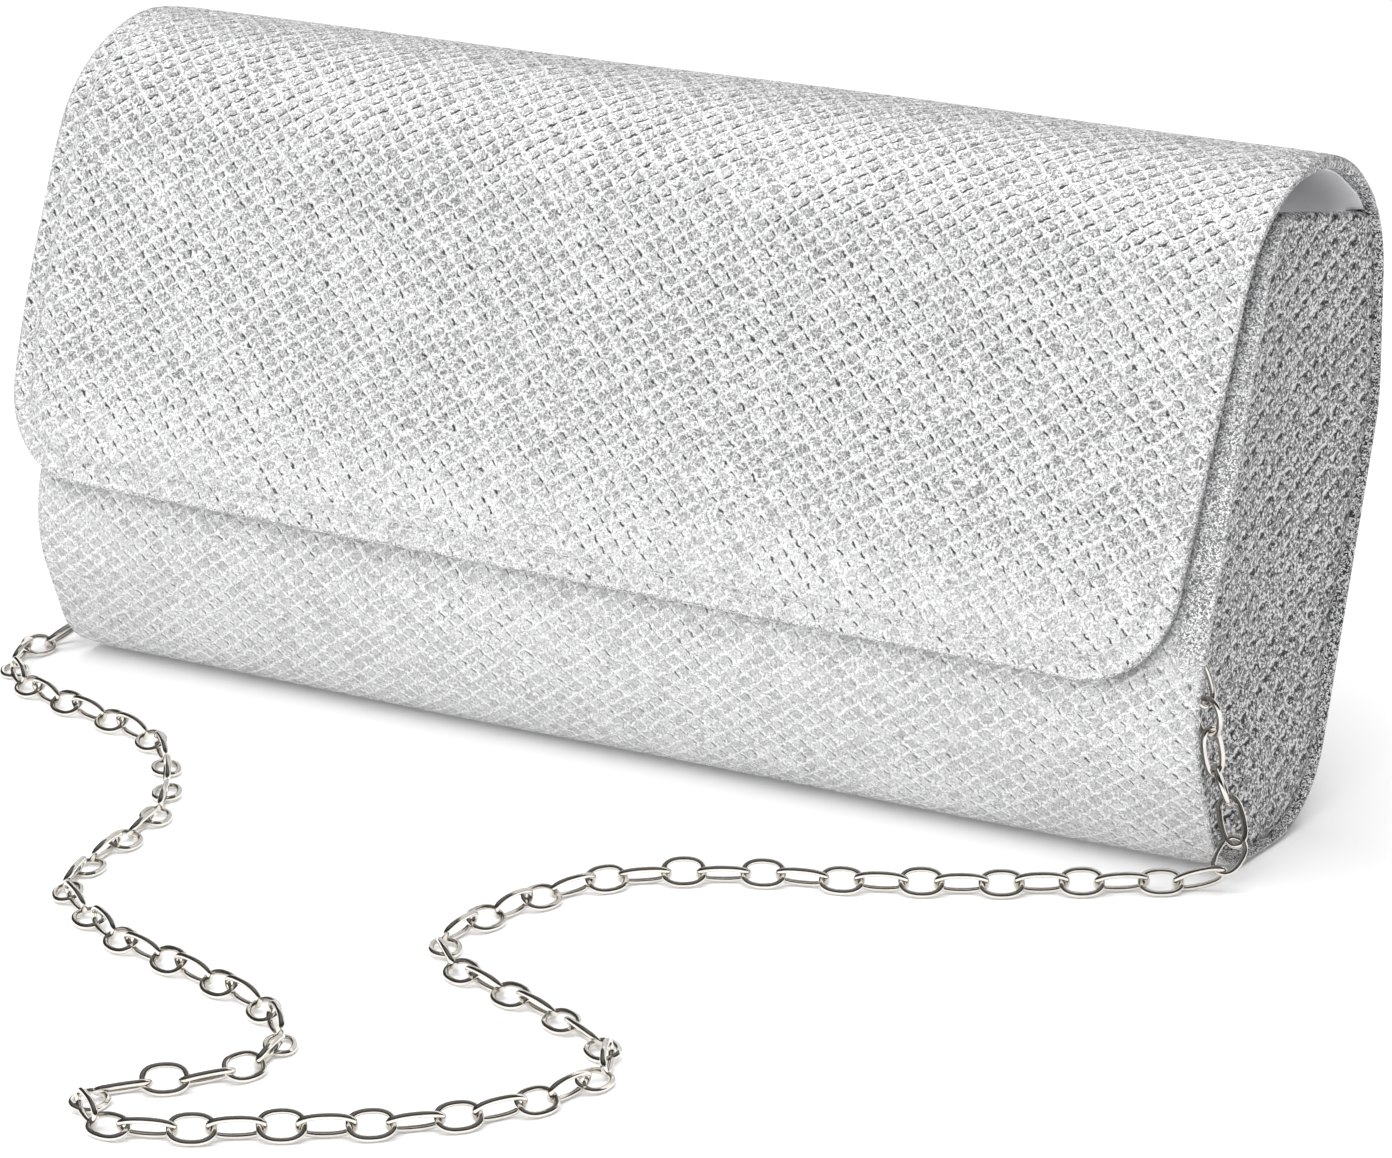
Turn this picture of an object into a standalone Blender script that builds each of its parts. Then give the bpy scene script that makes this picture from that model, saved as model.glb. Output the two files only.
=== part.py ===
"""Flap clutch evening bag with a fine cable chain.

Frame: metres, +Z up, +X along the width, the flap faces -Y.
The origin is at the middle of the base, on the surface the bag stands on.
All dimensions below are millimetres.
"""
import math

import bmesh
import bpy
from mathutils import Matrix, Vector

MM = 0.001

# ---------------------------------------------------------------- dimensions
BODY_WIDTH = 220.0          # end to end, over the wrap's cut ends

# Side profile: the outline is the tight band round five circles (y, z, radius).
ARCH = (9.2, 84.7, 23.8)            # top arch that the flap rolls over
FRONT_BELLY = (-4.2, 27.2, 25.7)    # widest point of the front
FRONT_TOE = (-11.9, 13.2, 13.2)     # front lower edge
BACK_TOE = (-0.4, 18.0, 18.0)       # back lower edge
BACK_BELLY = (5.7, 68.2, 27.6)      # widest point of the back

# Wall build-up, from the outside in.
FABRIC = 0.8
BOARD = 1.0
LINING = 0.6
GAP = 0.3
WALL = FABRIC + GAP + BOARD + GAP + LINING      # 3.0
BOARD_MARGIN = 6.0                              # boards stop short of the seams
FLAP_CLEARANCE = 0.4                            # flap lining to front panel
FLAP_STANDOFF = WALL + FLAP_CLEARANCE

FOLD_ANGLE = 31.0           # where the back turns into the flap, on the arch
FOLD_SLIT = 0.5             # half the slit there, degrees
HINGE_OUTSET = 0.15         # fold axis, just outside the back's face
MOUTH_ANGLE = 125.0         # top edge of the front panel, on the arch

# Flap outline, seen from the front.
FLAP_LOW_Z = 33.7           # lower edge at the middle
FLAP_EDGE_SLOPE = -0.012    # the lower edge runs down a little to the right
FLAP_TOP_Z = 108.5
FLAP_TAPER_Z = 30.0
FLAP_RIGHT = (110.0, 5.5, -0.8)     # half width at the arch, how much it draws
FLAP_LEFT = (110.5, -4.2, 4.4)      # in, and how much it swells on the way
FLAP_SWELL_START = 0.12
FLAP_CORNER = 16.0
FLAP_INSET = 1.2            # the lining stops short of the flap's edge

# Gussets: set in from the wrap's ends, more at the front than at the back.
GUSSET_FRONT_X = 105.0
GUSSET_BACK_X = 109.0
GUSSET_FRONT_Y = -26.5
GUSSET_BACK_Y = 30.0
GUSSET_LINING_DEPTH = 3.4
GUSSET_TOP_FRONT = 123.0    # where its top edge meets the walls, on the arch
GUSSET_TOP_BACK = 26.0

# Concealed magnets.
MAGNET_RADIUS = 7.0
MAGNET_Z = 47.0

# Chain eyes, held behind the gussets by a bar.
EYE_CENTRE = (104.9, -23.0, 37.0)
EYE_RADIUS = 2.2
EYE_WIRE = 0.45
BAR_RADIUS = 0.3
BAR_LENGTH = 4.6

CHAIN_RADIUS = 2.1          # round the links, which lie crossed at 45 degrees
CHAIN_REST_Z = 2.2
CHAIN_STEP = 8.2

# Way points of the chain from the right eye to the left one: it drops beside
# the gusset, lies on the surface in loose bends and climbs to the other eye.
CHAIN_RIGHT = [(107.9, -23.0, 33.6), (107.9, -21.5, 27.0), (108.1, -20.1, 20.4),
               (109.2, -18.2, 14.4), (111.4, -18.2, 10.2), (112.9, -20.8, 6.8),
               (112.4, -23.8, 4.0)]
CHAIN_FLOOR = [(108.6, -26.2), (103.6, -29.2), (98.6, -33.2), (88.4, -39.8),
               (78.4, -46.2), (65.0, -53.0), (51.0, -57.8), (40.6, -63.8),
               (32.6, -70.4), (27.4, -82.0), (25.4, -93.0), (24.2, -104.0),
               (30.0, -113.2), (41.6, -118.5), (52.2, -122.0), (62.8, -127.0),
               (71.0, -132.8), (73.0, -143.0), (69.8, -155.4), (63.0, -165.4),
               (54.6, -173.2), (44.8, -180.0), (35.2, -186.4), (26.2, -189.8),
               (17.8, -186.0), (17.6, -177.8), (24.8, -171.4), (29.8, -161.0),
               (27.0, -151.0), (17.4, -142.4), (6.3, -138.3), (-5.2, -134.8),
               (-16.0, -131.4), (-26.4, -125.4), (-37.0, -117.6),
               (-41.0, -107.0), (-42.9, -95.4), (-46.0, -82.4),
               (-53.6, -69.4), (-65.6, -55.8), (-80.0, -49.8),
               (-96.0, -45.2), (-108.8, -38.2), (-115.0, -28.6),
               (-115.2, -19.6)]
CHAIN_LEFT = [(-113.8, -14.0, 4.0), (-111.6, -12.0, 9.0), (-109.4, -14.2, 15.0),
              (-108.1, -19.0, 22.0), (-107.9, -21.5, 28.0),
              (-107.9, -23.0, 33.6)]


# ------------------------------------------------------------------ profile
def support(circle, angle):
    y, z, r = circle
    return y * math.cos(angle) + z * math.sin(angle) + r


def leader(circles, angle):
    return max(range(len(circles)), key=lambda i: support(circles[i], angle))


def on_circle(circle, angle):
    y, z, r = circle
    c, s = math.cos(angle), math.sin(angle)
    return (y + r * c, z + r * s, c, s)


def band(circles, start, end, step=6.0):
    """Points with outward normals (y, z, ny, nz) along the band, by angle."""
    count = max(2, int(round(abs(end - start) / step)))
    angles = [math.radians(start + (end - start) * k / count)
              for k in range(count + 1)]
    path = []
    last = None
    for k, angle in enumerate(angles):
        now = leader(circles, angle)
        if last is not None and now != last:
            low, high = angles[k - 1], angle
            for _ in range(40):
                mid = 0.5 * (low + high)
                if leader(circles, mid) == last:
                    low = mid
                else:
                    high = mid
            path.append(on_circle(circles[last], low))
            path.append(on_circle(circles[now], high))
        path.append(on_circle(circles[now], angle))
        last = now
    return path


def grown(circle, amount):
    return (circle[0], circle[1], circle[2] + amount)


TOE_CIRCLES = [FRONT_TOE, BACK_TOE]
FRONT_CIRCLES = [grown(ARCH, -FLAP_STANDOFF), FRONT_BELLY] + TOE_CIRCLES
BACK_CIRCLES = [ARCH, BACK_BELLY] + TOE_CIRCLES
FLAP_CIRCLES = [ARCH, grown(FRONT_BELLY, FLAP_STANDOFF)]


def body_path(front_angle=MOUTH_ANGLE, back_angle=FOLD_ANGLE - FOLD_SLIT):
    front = band(FRONT_CIRCLES, front_angle, 269.9)
    back = band(BACK_CIRCLES, 270.1, 360.0 + back_angle)
    return front + back


def flap_path():
    return band(FLAP_CIRCLES, FOLD_ANGLE + FOLD_SLIT, 180.0)


def offset(path, depth):
    return [(y - depth * ny, z - depth * nz) for y, z, ny, nz in path]


def strip(path, outer, inner):
    return offset(path, outer) + offset(path, inner)[::-1]


def lengths(path):
    run = [0.0]
    for a, b in zip(path, path[1:]):
        run.append(run[-1] + math.hypot(b[0] - a[0], b[1] - a[1]))
    return run


def part_of(path, start, end):
    """The stretch of a path between two distances along it."""
    run = lengths(path)

    def at(s):
        for k in range(len(path) - 1):
            if run[k + 1] >= s and run[k + 1] > run[k]:
                f = (s - run[k]) / (run[k + 1] - run[k])
                p = [a + f * (b - a) for a, b in zip(path[k], path[k + 1])]
                n = math.hypot(p[2], p[3])
                return (p[0], p[1], p[2] / n, p[3] / n)
        return path[-1]

    middle = [p for p, s in zip(path, run) if start + 0.3 < s < end - 0.3]
    return [at(start)] + middle + [at(end)]


# ------------------------------------------------------------------ builders
for stale in list(bpy.data.objects):
    bpy.data.objects.remove(stale, do_unlink=True)

parts = bpy.data.collections.new("evening_bag")
cutters = bpy.data.collections.new("cutters")
bpy.context.scene.collection.children.link(parts)
bpy.context.scene.collection.children.link(cutters)


def finish_of(name, colour, roughness, metallic):
    material = bpy.data.materials.new(name)
    material.use_nodes = True
    shader = material.node_tree.nodes["Principled BSDF"]
    shader.inputs["Base Color"].default_value = (*colour, 1.0)
    shader.inputs["Roughness"].default_value = roughness
    shader.inputs["Metallic"].default_value = metallic
    return material


def place(obj, collection):
    for home in list(obj.users_collection):
        home.objects.unlink(obj)
    collection.objects.link(obj)
    return obj


def to_mesh(curve_obj, name):
    """Replace a curve object with a welded mesh of the same shape."""
    graph = bpy.context.evaluated_depsgraph_get()
    mesh = bpy.data.meshes.new_from_object(curve_obj.evaluated_get(graph))
    mesh.transform(curve_obj.matrix_world)
    bpy.data.objects.remove(curve_obj, do_unlink=True)
    form = bmesh.new()
    form.from_mesh(mesh)
    bmesh.ops.remove_doubles(form, verts=form.verts, dist=0.000002)
    bmesh.ops.recalc_face_normals(form, faces=form.faces)
    form.to_mesh(mesh)
    form.free()
    mesh.name = name
    obj = bpy.data.objects.new(name, mesh)
    parts.objects.link(obj)
    return obj


def prism(name, outline, half, rotation, location=(0.0, 0.0, 0.0)):
    """A flat outline in millimetres, extruded by half each way."""
    curve = bpy.data.curves.new(name, "CURVE")
    curve.dimensions = "2D"
    curve.fill_mode = "BOTH"
    curve.extrude = half * MM
    spline = curve.splines.new("POLY")
    spline.points.add(len(outline) - 1)
    for point, (u, v) in zip(spline.points, outline):
        point.co = (u * MM, v * MM, 0.0, 1.0)
    spline.use_cyclic_u = True
    obj = bpy.data.objects.new(name + "_outline", curve)
    obj.location = Vector(location) * MM
    obj.rotation_euler = rotation
    parts.objects.link(obj)
    bpy.context.view_layer.update()
    return to_mesh(obj, name)


ACROSS = (math.pi / 2, 0.0, math.pi / 2)    # outline (y, z), depth along X
FACING = (math.pi / 2, 0.0, 0.0)            # outline (x, z), depth along Y


def cutter(obj):
    obj.hide_render = True
    obj.display_type = "WIRE"
    return place(obj, cutters)


def cut(obj, tool, operation="DIFFERENCE"):
    modifier = obj.modifiers.new(operation.lower(), "BOOLEAN")
    modifier.operation = operation
    modifier.solver = "EXACT"
    modifier.object = tool


def paint(obj, material):
    obj.data.materials.clear()
    obj.data.materials.append(material)
    return obj


def disc(name, radius, depth, centre, normal, collection=None, sides=40):
    bpy.ops.mesh.primitive_cylinder_add(vertices=sides, radius=radius * MM,
                                        depth=depth * MM)
    obj = place(bpy.context.active_object, collection or parts)
    obj.name = name
    obj.location = Vector(centre) * MM
    obj.rotation_euler = Vector(normal).to_track_quat("Z", "Y").to_euler()
    return obj


glitter = finish_of("silver_glitter_fabric", (0.80, 0.80, 0.82), 0.45, 0.6)
glitter_side = finish_of("silver_glitter_gusset", (0.52, 0.52, 0.55), 0.5, 0.6)
grey_board = finish_of("grey_board", (0.45, 0.44, 0.42), 0.9, 0.0)
satin = finish_of("grey_satin_lining", (0.58, 0.58, 0.60), 0.5, 0.0)
nickel = finish_of("polished_nickel", (0.86, 0.83, 0.78), 0.15, 1.0)
magnet_steel = finish_of("magnet_steel", (0.40, 0.40, 0.41), 0.35, 1.0)

# ---------------------------------------------------------------- bag body
wall = body_path()
half_width = BODY_WIDTH / 2

wrap = paint(prism("body_wrap_fabric", strip(wall, 0.0, FABRIC),
                   half_width, ACROSS), glitter)
lining = paint(prism("body_lining", strip(wall, FABRIC + 2 * GAP + BOARD, WALL),
                     half_width - 0.6, ACROSS), satin)

# Boards: one each for the front, the base and the back, with slits between
# them at the toes so the wrap can bend.
BOARD_IN, BOARD_OUT = FABRIC + GAP + BOARD, FABRIC + GAP
run = lengths(wall)
total = run[-1]
toe_front = max(s for s, p in zip(run, wall)
                if p[3] > math.sin(math.radians(-35.0)) and p[2] < 0.0)
base_front = min(s for s, p in zip(run, wall) if p[3] < -0.985)
base_back = max(s for s, p in zip(run, wall) if p[3] < -0.985)
toe_back = min(s for s, p in zip(run, wall)
               if p[2] > 0.0 and p[3] > math.sin(math.radians(-40.0)))


def board(name, start, end):
    piece = part_of(wall, start, end)
    return paint(prism(name, strip(piece, BOARD_OUT, BOARD_IN),
                       half_width - BOARD_MARGIN, ACROSS), grey_board)


front_board = board("front_board", 2.0, toe_front)
base_board = board("base_board", base_front - 0.5, base_back + 0.5)
back_board = board("back_board", toe_back, total - 1.0)

# -------------------------------------------------------------------- flap
hinge_angle = math.radians(FOLD_ANGLE)
hinge_reach = ARCH[2] + HINGE_OUTSET
HINGE = (0.0, ARCH[0] + hinge_reach * math.cos(hinge_angle),
         ARCH[1] + hinge_reach * math.sin(hinge_angle))
hinge = bpy.data.objects.new("flap_hinge_axis", None)
hinge.empty_display_size = 0.02
hinge.location = Vector(HINGE) * MM
parts.objects.link(hinge)
bpy.context.view_layer.update()


def flap_side(side, z):
    half, draw, swell = side
    h = min(1.0, max(0.0, (FLAP_TOP_Z - z) / (FLAP_TOP_Z - FLAP_TAPER_Z)))
    u = (h + FLAP_SWELL_START) / (1.0 + FLAP_SWELL_START)
    return half - draw * h + swell * 4.0 * u * (1.0 - u)


def flap_outline(inset):
    """The flap's front outline with rounded lower corners, (x, z)."""
    radius = FLAP_CORNER - inset
    low = FLAP_LOW_Z + inset

    def edge(x):
        return low + FLAP_EDGE_SLOPE * x

    right_x = flap_side(FLAP_RIGHT, FLAP_LOW_Z + FLAP_CORNER) - inset
    left_x = -flap_side(FLAP_LEFT, FLAP_LOW_Z + FLAP_CORNER) + inset
    heights = [FLAP_TOP_Z + 8.0, FLAP_TOP_Z, 103.0, 97.0, 91.0, 85.0, 79.0,
               73.0, 67.0, 61.0, 55.0]
    points = []
    for z in heights:
        points.append((flap_side(FLAP_RIGHT, z) - inset, z))
    steps = 9
    cx, cz = right_x - radius, edge(right_x - radius) + radius
    for k in range(steps + 1):
        t = math.radians(-90.0 * k / steps)
        points.append((cx + radius * math.cos(t), cz + radius * math.sin(t)))
    cx, cz = left_x + radius, edge(left_x + radius) + radius
    for k in range(steps + 1):
        t = math.radians(-90.0 - 90.0 * k / steps)
        points.append((cx + radius * math.cos(t), cz + radius * math.sin(t)))
    for z in reversed(heights):
        points.append((-flap_side(FLAP_LEFT, z) + inset, z))
    return points


def flap_layer(name, outer, inner, inset, material):
    piece = paint(prism(name, strip(flap_path(), outer, inner),
                        half_width + 14.0, ACROSS), material)
    trim = cutter(prism(name + "_trim", flap_outline(inset), 80.0, FACING))
    cut(piece, trim, "INTERSECT")
    return piece


flap_fabric = flap_layer("flap_fabric", 0.0, FABRIC, 0.0, glitter)
flap_board = flap_layer("flap_board", BOARD_OUT, BOARD_IN, BOARD_MARGIN,
                        grey_board)
flap_lining = flap_layer("flap_lining", FABRIC + 2 * GAP + BOARD, WALL,
                         FLAP_INSET, satin)


# ----------------------------------------------------------------- magnets
def wall_point(path, z, depth):
    """A point in the wall at height z, with the wall's outward normal."""
    for a, b in zip(path, path[1:]):
        if a[1] >= z >= b[1] and a[1] > b[1]:
            f = (a[1] - z) / (a[1] - b[1])
            y, z2, ny, nz = [p + f * (q - p) for p, q in zip(a, b)]
            return Vector((0.0, y - depth * ny, z2 - depth * nz)), \
                Vector((0.0, ny, nz)).normalized()
    return None, None


middle = FABRIC + GAP + BOARD / 2
seat, facing = wall_point(wall, MAGNET_Z, middle)
front_magnet = paint(disc("front_magnet", MAGNET_RADIUS, BOARD, seat, facing),
                     magnet_steel)
cut(front_board, cutter(disc("front_magnet_hole", MAGNET_RADIUS + GAP, 6.0,
                             seat, facing, cutters)))
flap_seat = seat + facing * FLAP_STANDOFF
flap_magnet = paint(disc("flap_magnet", MAGNET_RADIUS, BOARD, flap_seat,
                         facing), magnet_steel)
cut(flap_board, cutter(disc("flap_magnet_hole", MAGNET_RADIUS + GAP, 6.0,
                            flap_seat, facing, cutters)))

for piece in (flap_fabric, flap_board, flap_lining, flap_magnet):
    piece.parent = hinge
    piece.matrix_parent_inverse = hinge.matrix_world.inverted()


# ----------------------------------------------------------------- gussets
def gusset_x(y):
    f = (y - GUSSET_FRONT_Y) / (GUSSET_BACK_Y - GUSSET_FRONT_Y)
    return GUSSET_FRONT_X + f * (GUSSET_BACK_X - GUSSET_FRONT_X)


def gusset(name, side, depth, thickness, material):
    """A plate across the end of the body, slanted in at the front."""
    rim = offset(body_path(GUSSET_TOP_FRONT, GUSSET_TOP_BACK), WALL + GAP)
    piece = prism(name, rim, thickness / 2, ACROSS)
    for vertex in piece.data.vertices:
        x, y, z = vertex.co
        reach = gusset_x(y / MM) - depth - thickness / 2
        vertex.co.x = side * (x + reach * MM)
    if side < 0:
        piece.data.flip_normals()
    return paint(piece, material)


def wire_ring(name, side):
    bpy.ops.mesh.primitive_torus_add(major_radius=EYE_RADIUS * MM,
                                     minor_radius=EYE_WIRE * MM,
                                     major_segments=22, minor_segments=8)
    obj = place(bpy.context.active_object, parts)
    obj.name = name
    obj.location = Vector((side * EYE_CENTRE[0], *EYE_CENTRE[1:])) * MM
    obj.rotation_euler = (math.pi / 2, 0.0, 0.0)
    return paint(obj, nickel)


def block(name, low, high):
    bpy.ops.mesh.primitive_cube_add(size=1.0)
    obj = place(bpy.context.active_object, cutters)
    obj.name = name
    low, high = Vector(low) * MM, Vector(high) * MM
    obj.data.transform(Matrix.Diagonal((*(high - low), 1.0)))
    obj.location = (low + high) / 2
    return cutter(obj)


for side, word in ((1.0, "right"), (-1.0, "left")):
    outer = gusset("gusset_%s_fabric" % word, side, 0.0, FABRIC, glitter_side)
    gusset("gusset_%s_lining" % word, side, GUSSET_LINING_DEPTH, LINING, satin)
    reach = EYE_RADIUS + EYE_WIRE + 0.5
    xs = sorted((side * 100.0, side * 112.0))
    cut(outer, block("eye_notch_" + word,
                     (xs[0], EYE_CENTRE[1] - 4.0, EYE_CENTRE[2] - reach),
                     (xs[1], EYE_CENTRE[1] + EYE_WIRE + 0.35,
                      EYE_CENTRE[2] + reach)))
    wire_ring("chain_eye_" + word, side)
    bar_x = EYE_CENTRE[0] - EYE_RADIUS + EYE_WIRE + 0.3 + BAR_RADIUS
    paint(disc("anchor_bar_" + word, BAR_RADIUS, BAR_LENGTH,
               (side * bar_x, EYE_CENTRE[1] + BAR_LENGTH / 2 - 0.8,
                EYE_CENTRE[2]), (0.0, 1.0, 0.0), sides=12), nickel)


# ------------------------------------------------------------------- chain
def smooth_route(points, step):
    """Evenly spaced points on a Catmull-Rom curve through the way points."""
    ends = [points[0] * 2 - points[1]] + points + [points[-1] * 2 - points[-2]]
    dense = []
    for a, b, c, d in zip(ends, ends[1:], ends[2:], ends[3:]):
        for k in range(24):
            t = k / 24.0
            dense.append(0.5 * (2 * b + (c - a) * t
                                + (2 * a - 5 * b + 4 * c - d) * t * t
                                + (3 * b - a - 3 * c + d) * t ** 3))
    dense.append(points[-1])
    run = [0.0]
    for a, b in zip(dense, dense[1:]):
        run.append(run[-1] + (b - a).length)
    count = int(round(run[-1] / step))
    route, k = [], 0
    for n in range(count + 1):
        s = run[-1] * n / count
        while k < len(run) - 2 and run[k + 1] < s:
            k += 1
        f = (s - run[k]) / max(1e-9, run[k + 1] - run[k])
        route.append(dense[k].lerp(dense[k + 1], min(1.0, f)))
    return route


way = [Vector(p) for p in CHAIN_RIGHT]
way += [Vector((x, y, CHAIN_REST_Z)) for x, y in CHAIN_FLOOR]
way += [Vector(p) for p in CHAIN_LEFT]
route = smooth_route(way, CHAIN_STEP)
for point in route:
    point.z = max(point.z, CHAIN_REST_Z)

chain = bpy.data.curves.new("shoulder_chain", "CURVE")
chain.dimensions = "3D"
chain.bevel_depth = CHAIN_RADIUS * MM
chain.bevel_resolution = 2
chain.use_fill_caps = True
spline = chain.splines.new("POLY")
spline.points.add(len(route) - 1)
for point, p in zip(spline.points, route):
    point.co = (p.x * MM, p.y * MM, p.z * MM, 1.0)
chain_obj = bpy.data.objects.new("shoulder_chain", chain)
chain_obj.data.materials.append(nickel)
parts.objects.link(chain_obj)

# The flap sits a little to the left, so the body moves right by half of its
# overhang and the origin is in the middle of the whole bag.
FLAP_REACH = max(flap_side(FLAP_LEFT, z) for z in range(50, 100))
CENTRE_SHIFT = (FLAP_REACH - half_width) / 2
for obj in list(parts.objects) + list(cutters.objects):
    if obj.parent is None:
        obj.location.x += CENTRE_SHIFT * MM
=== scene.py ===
import math

import bpy
import numpy as np
from mathutils import Matrix, Vector
from mathutils.geometry import delaunay_2d_cdt
from mathutils.kdtree import KDTree


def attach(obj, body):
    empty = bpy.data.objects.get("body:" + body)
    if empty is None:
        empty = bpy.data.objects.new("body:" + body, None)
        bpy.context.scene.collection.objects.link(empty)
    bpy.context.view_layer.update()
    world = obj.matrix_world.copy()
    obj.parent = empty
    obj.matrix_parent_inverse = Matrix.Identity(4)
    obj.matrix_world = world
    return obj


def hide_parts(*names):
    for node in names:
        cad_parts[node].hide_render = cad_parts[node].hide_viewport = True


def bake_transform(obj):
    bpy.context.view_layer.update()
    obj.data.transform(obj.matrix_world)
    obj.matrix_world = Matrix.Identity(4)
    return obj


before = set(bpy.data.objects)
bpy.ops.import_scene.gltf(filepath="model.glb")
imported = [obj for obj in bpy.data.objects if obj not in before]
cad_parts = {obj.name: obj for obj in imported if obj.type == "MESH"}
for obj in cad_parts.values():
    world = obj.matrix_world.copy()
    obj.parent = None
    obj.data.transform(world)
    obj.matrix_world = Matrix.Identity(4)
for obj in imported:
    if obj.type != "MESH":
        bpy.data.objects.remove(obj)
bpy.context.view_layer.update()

MM = 0.001

# ------------------------------------------------------------------ dimensions
# Millimetres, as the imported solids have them.
HALF_WIDTH = 110.0
ARCH = (9.2, 84.7, 23.8)
FRONT_BELLY = (-4.2, 27.2, 25.7)
FRONT_TOE = (-11.9, 13.2, 13.2)
BACK_TOE = (-0.4, 18.0, 18.0)
BACK_BELLY = (5.7, 68.2, 27.6)
WALL = 3.0
FLAP_STANDOFF = 3.4
FOLD_ANGLE = 31.0
MOUTH_ANGLE = 125.0

FLAP_LOW_Z = 33.7
FLAP_EDGE_SLOPE = -0.012
FLAP_TOP_Z = 108.5
FLAP_TAPER_Z = 30.0
FLAP_RIGHT = (110.0, 5.5, -0.8)
FLAP_LEFT = (110.5, -4.2, 4.4)
FLAP_SWELL_START = 0.12
FLAP_CORNER = 16.0

GUSSET_FRONT_X, GUSSET_BACK_X = 105.0, 109.0
GUSSET_FOOT_X = 108.9
GUSSET_FRONT_Y, GUSSET_BACK_Y = -26.5, 30.0
GUSSET_TOP_FRONT, GUSSET_TOP_BACK = 123.0, 26.0
EYE_CENTRE = (104.9, -23.0, 37.0)
EYE_RADIUS = 2.2
EYE_WIRE = 0.45

COVER_RADIUS = 1.3          # half the padded wall
FLAP_EDGE_RADIUS = 0.8      # the flap's rounded edge
EDGE_RADIUS = 0.7           # the wrap thins to this along its sewn edges
EDGE_FROM, EDGE_TO = 1.0, 6.0
ARCH_FROM, ARCH_TO = 46.0, 72.0     # and the flap does so over the arch
LINING_TOP = 2.65           # where the lining starts, down from the outer face
STITCH_INSET = 4.0
STITCH_PITCH = 3.0
STITCH_LENGTH = 2.3
STITCH_RADIUS = 0.13

# Diamond net of the fabric: two sides of a diamond, across and along.
NET = ((2.115, 1.53), (1.655, -1.53))
GUSSET_NET = ((2.65, 1.40), (2.94, -2.54))
RELIEF = 0.17

CHAIN_RIGHT = [(107.9, -23.0, 33.6), (107.9, -21.5, 27.0), (108.1, -20.1, 20.4),
               (109.2, -18.2, 14.4), (111.4, -18.2, 10.2), (112.9, -20.8, 6.8),
               (112.4, -23.8, 4.0)]
CHAIN_FLOOR = [(108.6, -26.2), (103.6, -29.2), (98.6, -33.2), (88.4, -39.8),
               (78.4, -46.2), (65.0, -53.0), (51.0, -57.8), (40.6, -63.8),
               (32.6, -70.4), (27.4, -82.0), (25.4, -93.0), (24.2, -104.0),
               (30.0, -113.2), (41.6, -118.5), (52.2, -122.0), (62.8, -127.0),
               (71.0, -132.8), (73.0, -143.0), (69.8, -155.4), (63.0, -165.4),
               (54.6, -173.2), (44.8, -180.0), (35.2, -186.4), (26.2, -189.8),
               (17.8, -186.0), (17.6, -177.8), (24.8, -171.4), (29.8, -161.0),
               (27.0, -151.0), (17.4, -142.4), (6.3, -138.3), (-5.2, -134.8),
               (-16.0, -131.4), (-26.4, -125.4), (-37.0, -117.6),
               (-41.0, -107.0), (-42.9, -95.4), (-46.0, -82.4),
               (-53.6, -69.4), (-65.6, -55.8), (-80.0, -49.8),
               (-96.0, -45.2), (-108.8, -38.2), (-115.0, -28.6),
               (-115.2, -19.6)]
CHAIN_LEFT = [(-113.8, -14.0, 4.0), (-111.6, -12.0, 9.0), (-109.4, -14.2, 15.0),
              (-108.1, -19.0, 22.0), (-107.9, -21.5, 28.0),
              (-107.9, -23.0, 33.6)]
CHAIN_HOOK = (106.0, -23.0, 35.6)   # where the end links hold their wire loops
# Broad and slim links take turns: length and width outside, and the wire.
BROAD_LINK = (7.2, 5.1)
SLIM_LINK = (8.8, 4.5)
LINK_WIRE = 0.96
CHAIN_LIE = 2.1             # height of the links' middles where they lie


def flap_side(side, z):
    half, draw, swell = side
    h = np.clip((FLAP_TOP_Z - z) / (FLAP_TOP_Z - FLAP_TAPER_Z), 0.0, 1.0)
    u = (h + FLAP_SWELL_START) / (1.0 + FLAP_SWELL_START)
    return half - draw * h + swell * 4.0 * u * (1.0 - u)


FLAP_REACH = max(float(flap_side(FLAP_LEFT, z)) for z in range(50, 100))
SHIFT = (FLAP_REACH - HALF_WIDTH) / 2


# ------------------------------------------------------------- camera and light
def make_camera():
    """A long lens from the right, a little above the bag."""
    turn, tilt = math.radians(31.52), math.radians(17.06)
    ahead = Vector((-math.sin(turn) * math.cos(tilt),
                    math.cos(turn) * math.cos(tilt), -math.sin(tilt)))
    right = Vector((math.cos(turn), math.sin(turn), 0.0))
    up = right.cross(ahead)
    data = bpy.data.cameras.new("studio_camera")
    data.sensor_fit = "HORIZONTAL"
    data.sensor_width = 36.0
    data.lens = 36.0 * 5700.0 / 1392.0
    data.clip_start, data.clip_end = 0.05, 50.0
    camera = bpy.data.objects.new("studio_camera", data)
    basis = Matrix((right, up, -ahead)).transposed().to_4x4()
    basis.translation = Vector((0.47137 + SHIFT * MM, -0.7630, 0.3011))
    camera.matrix_world = basis
    bpy.context.scene.collection.objects.link(camera)
    bpy.context.scene.camera = camera


def soft_box(name, place, aim, width, height, power, tint=(1.0, 1.0, 1.0)):
    data = bpy.data.lights.new(name, "AREA")
    data.shape = "RECTANGLE"
    data.size, data.size_y = width, height
    data.energy = power
    data.color = tint
    lamp = bpy.data.objects.new(name, data)
    lamp.location = place
    way = Vector(aim) - Vector(place)
    lamp.rotation_euler = way.to_track_quat("-Z", "Y").to_euler()
    bpy.context.scene.collection.objects.link(lamp)
    return lamp


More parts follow.
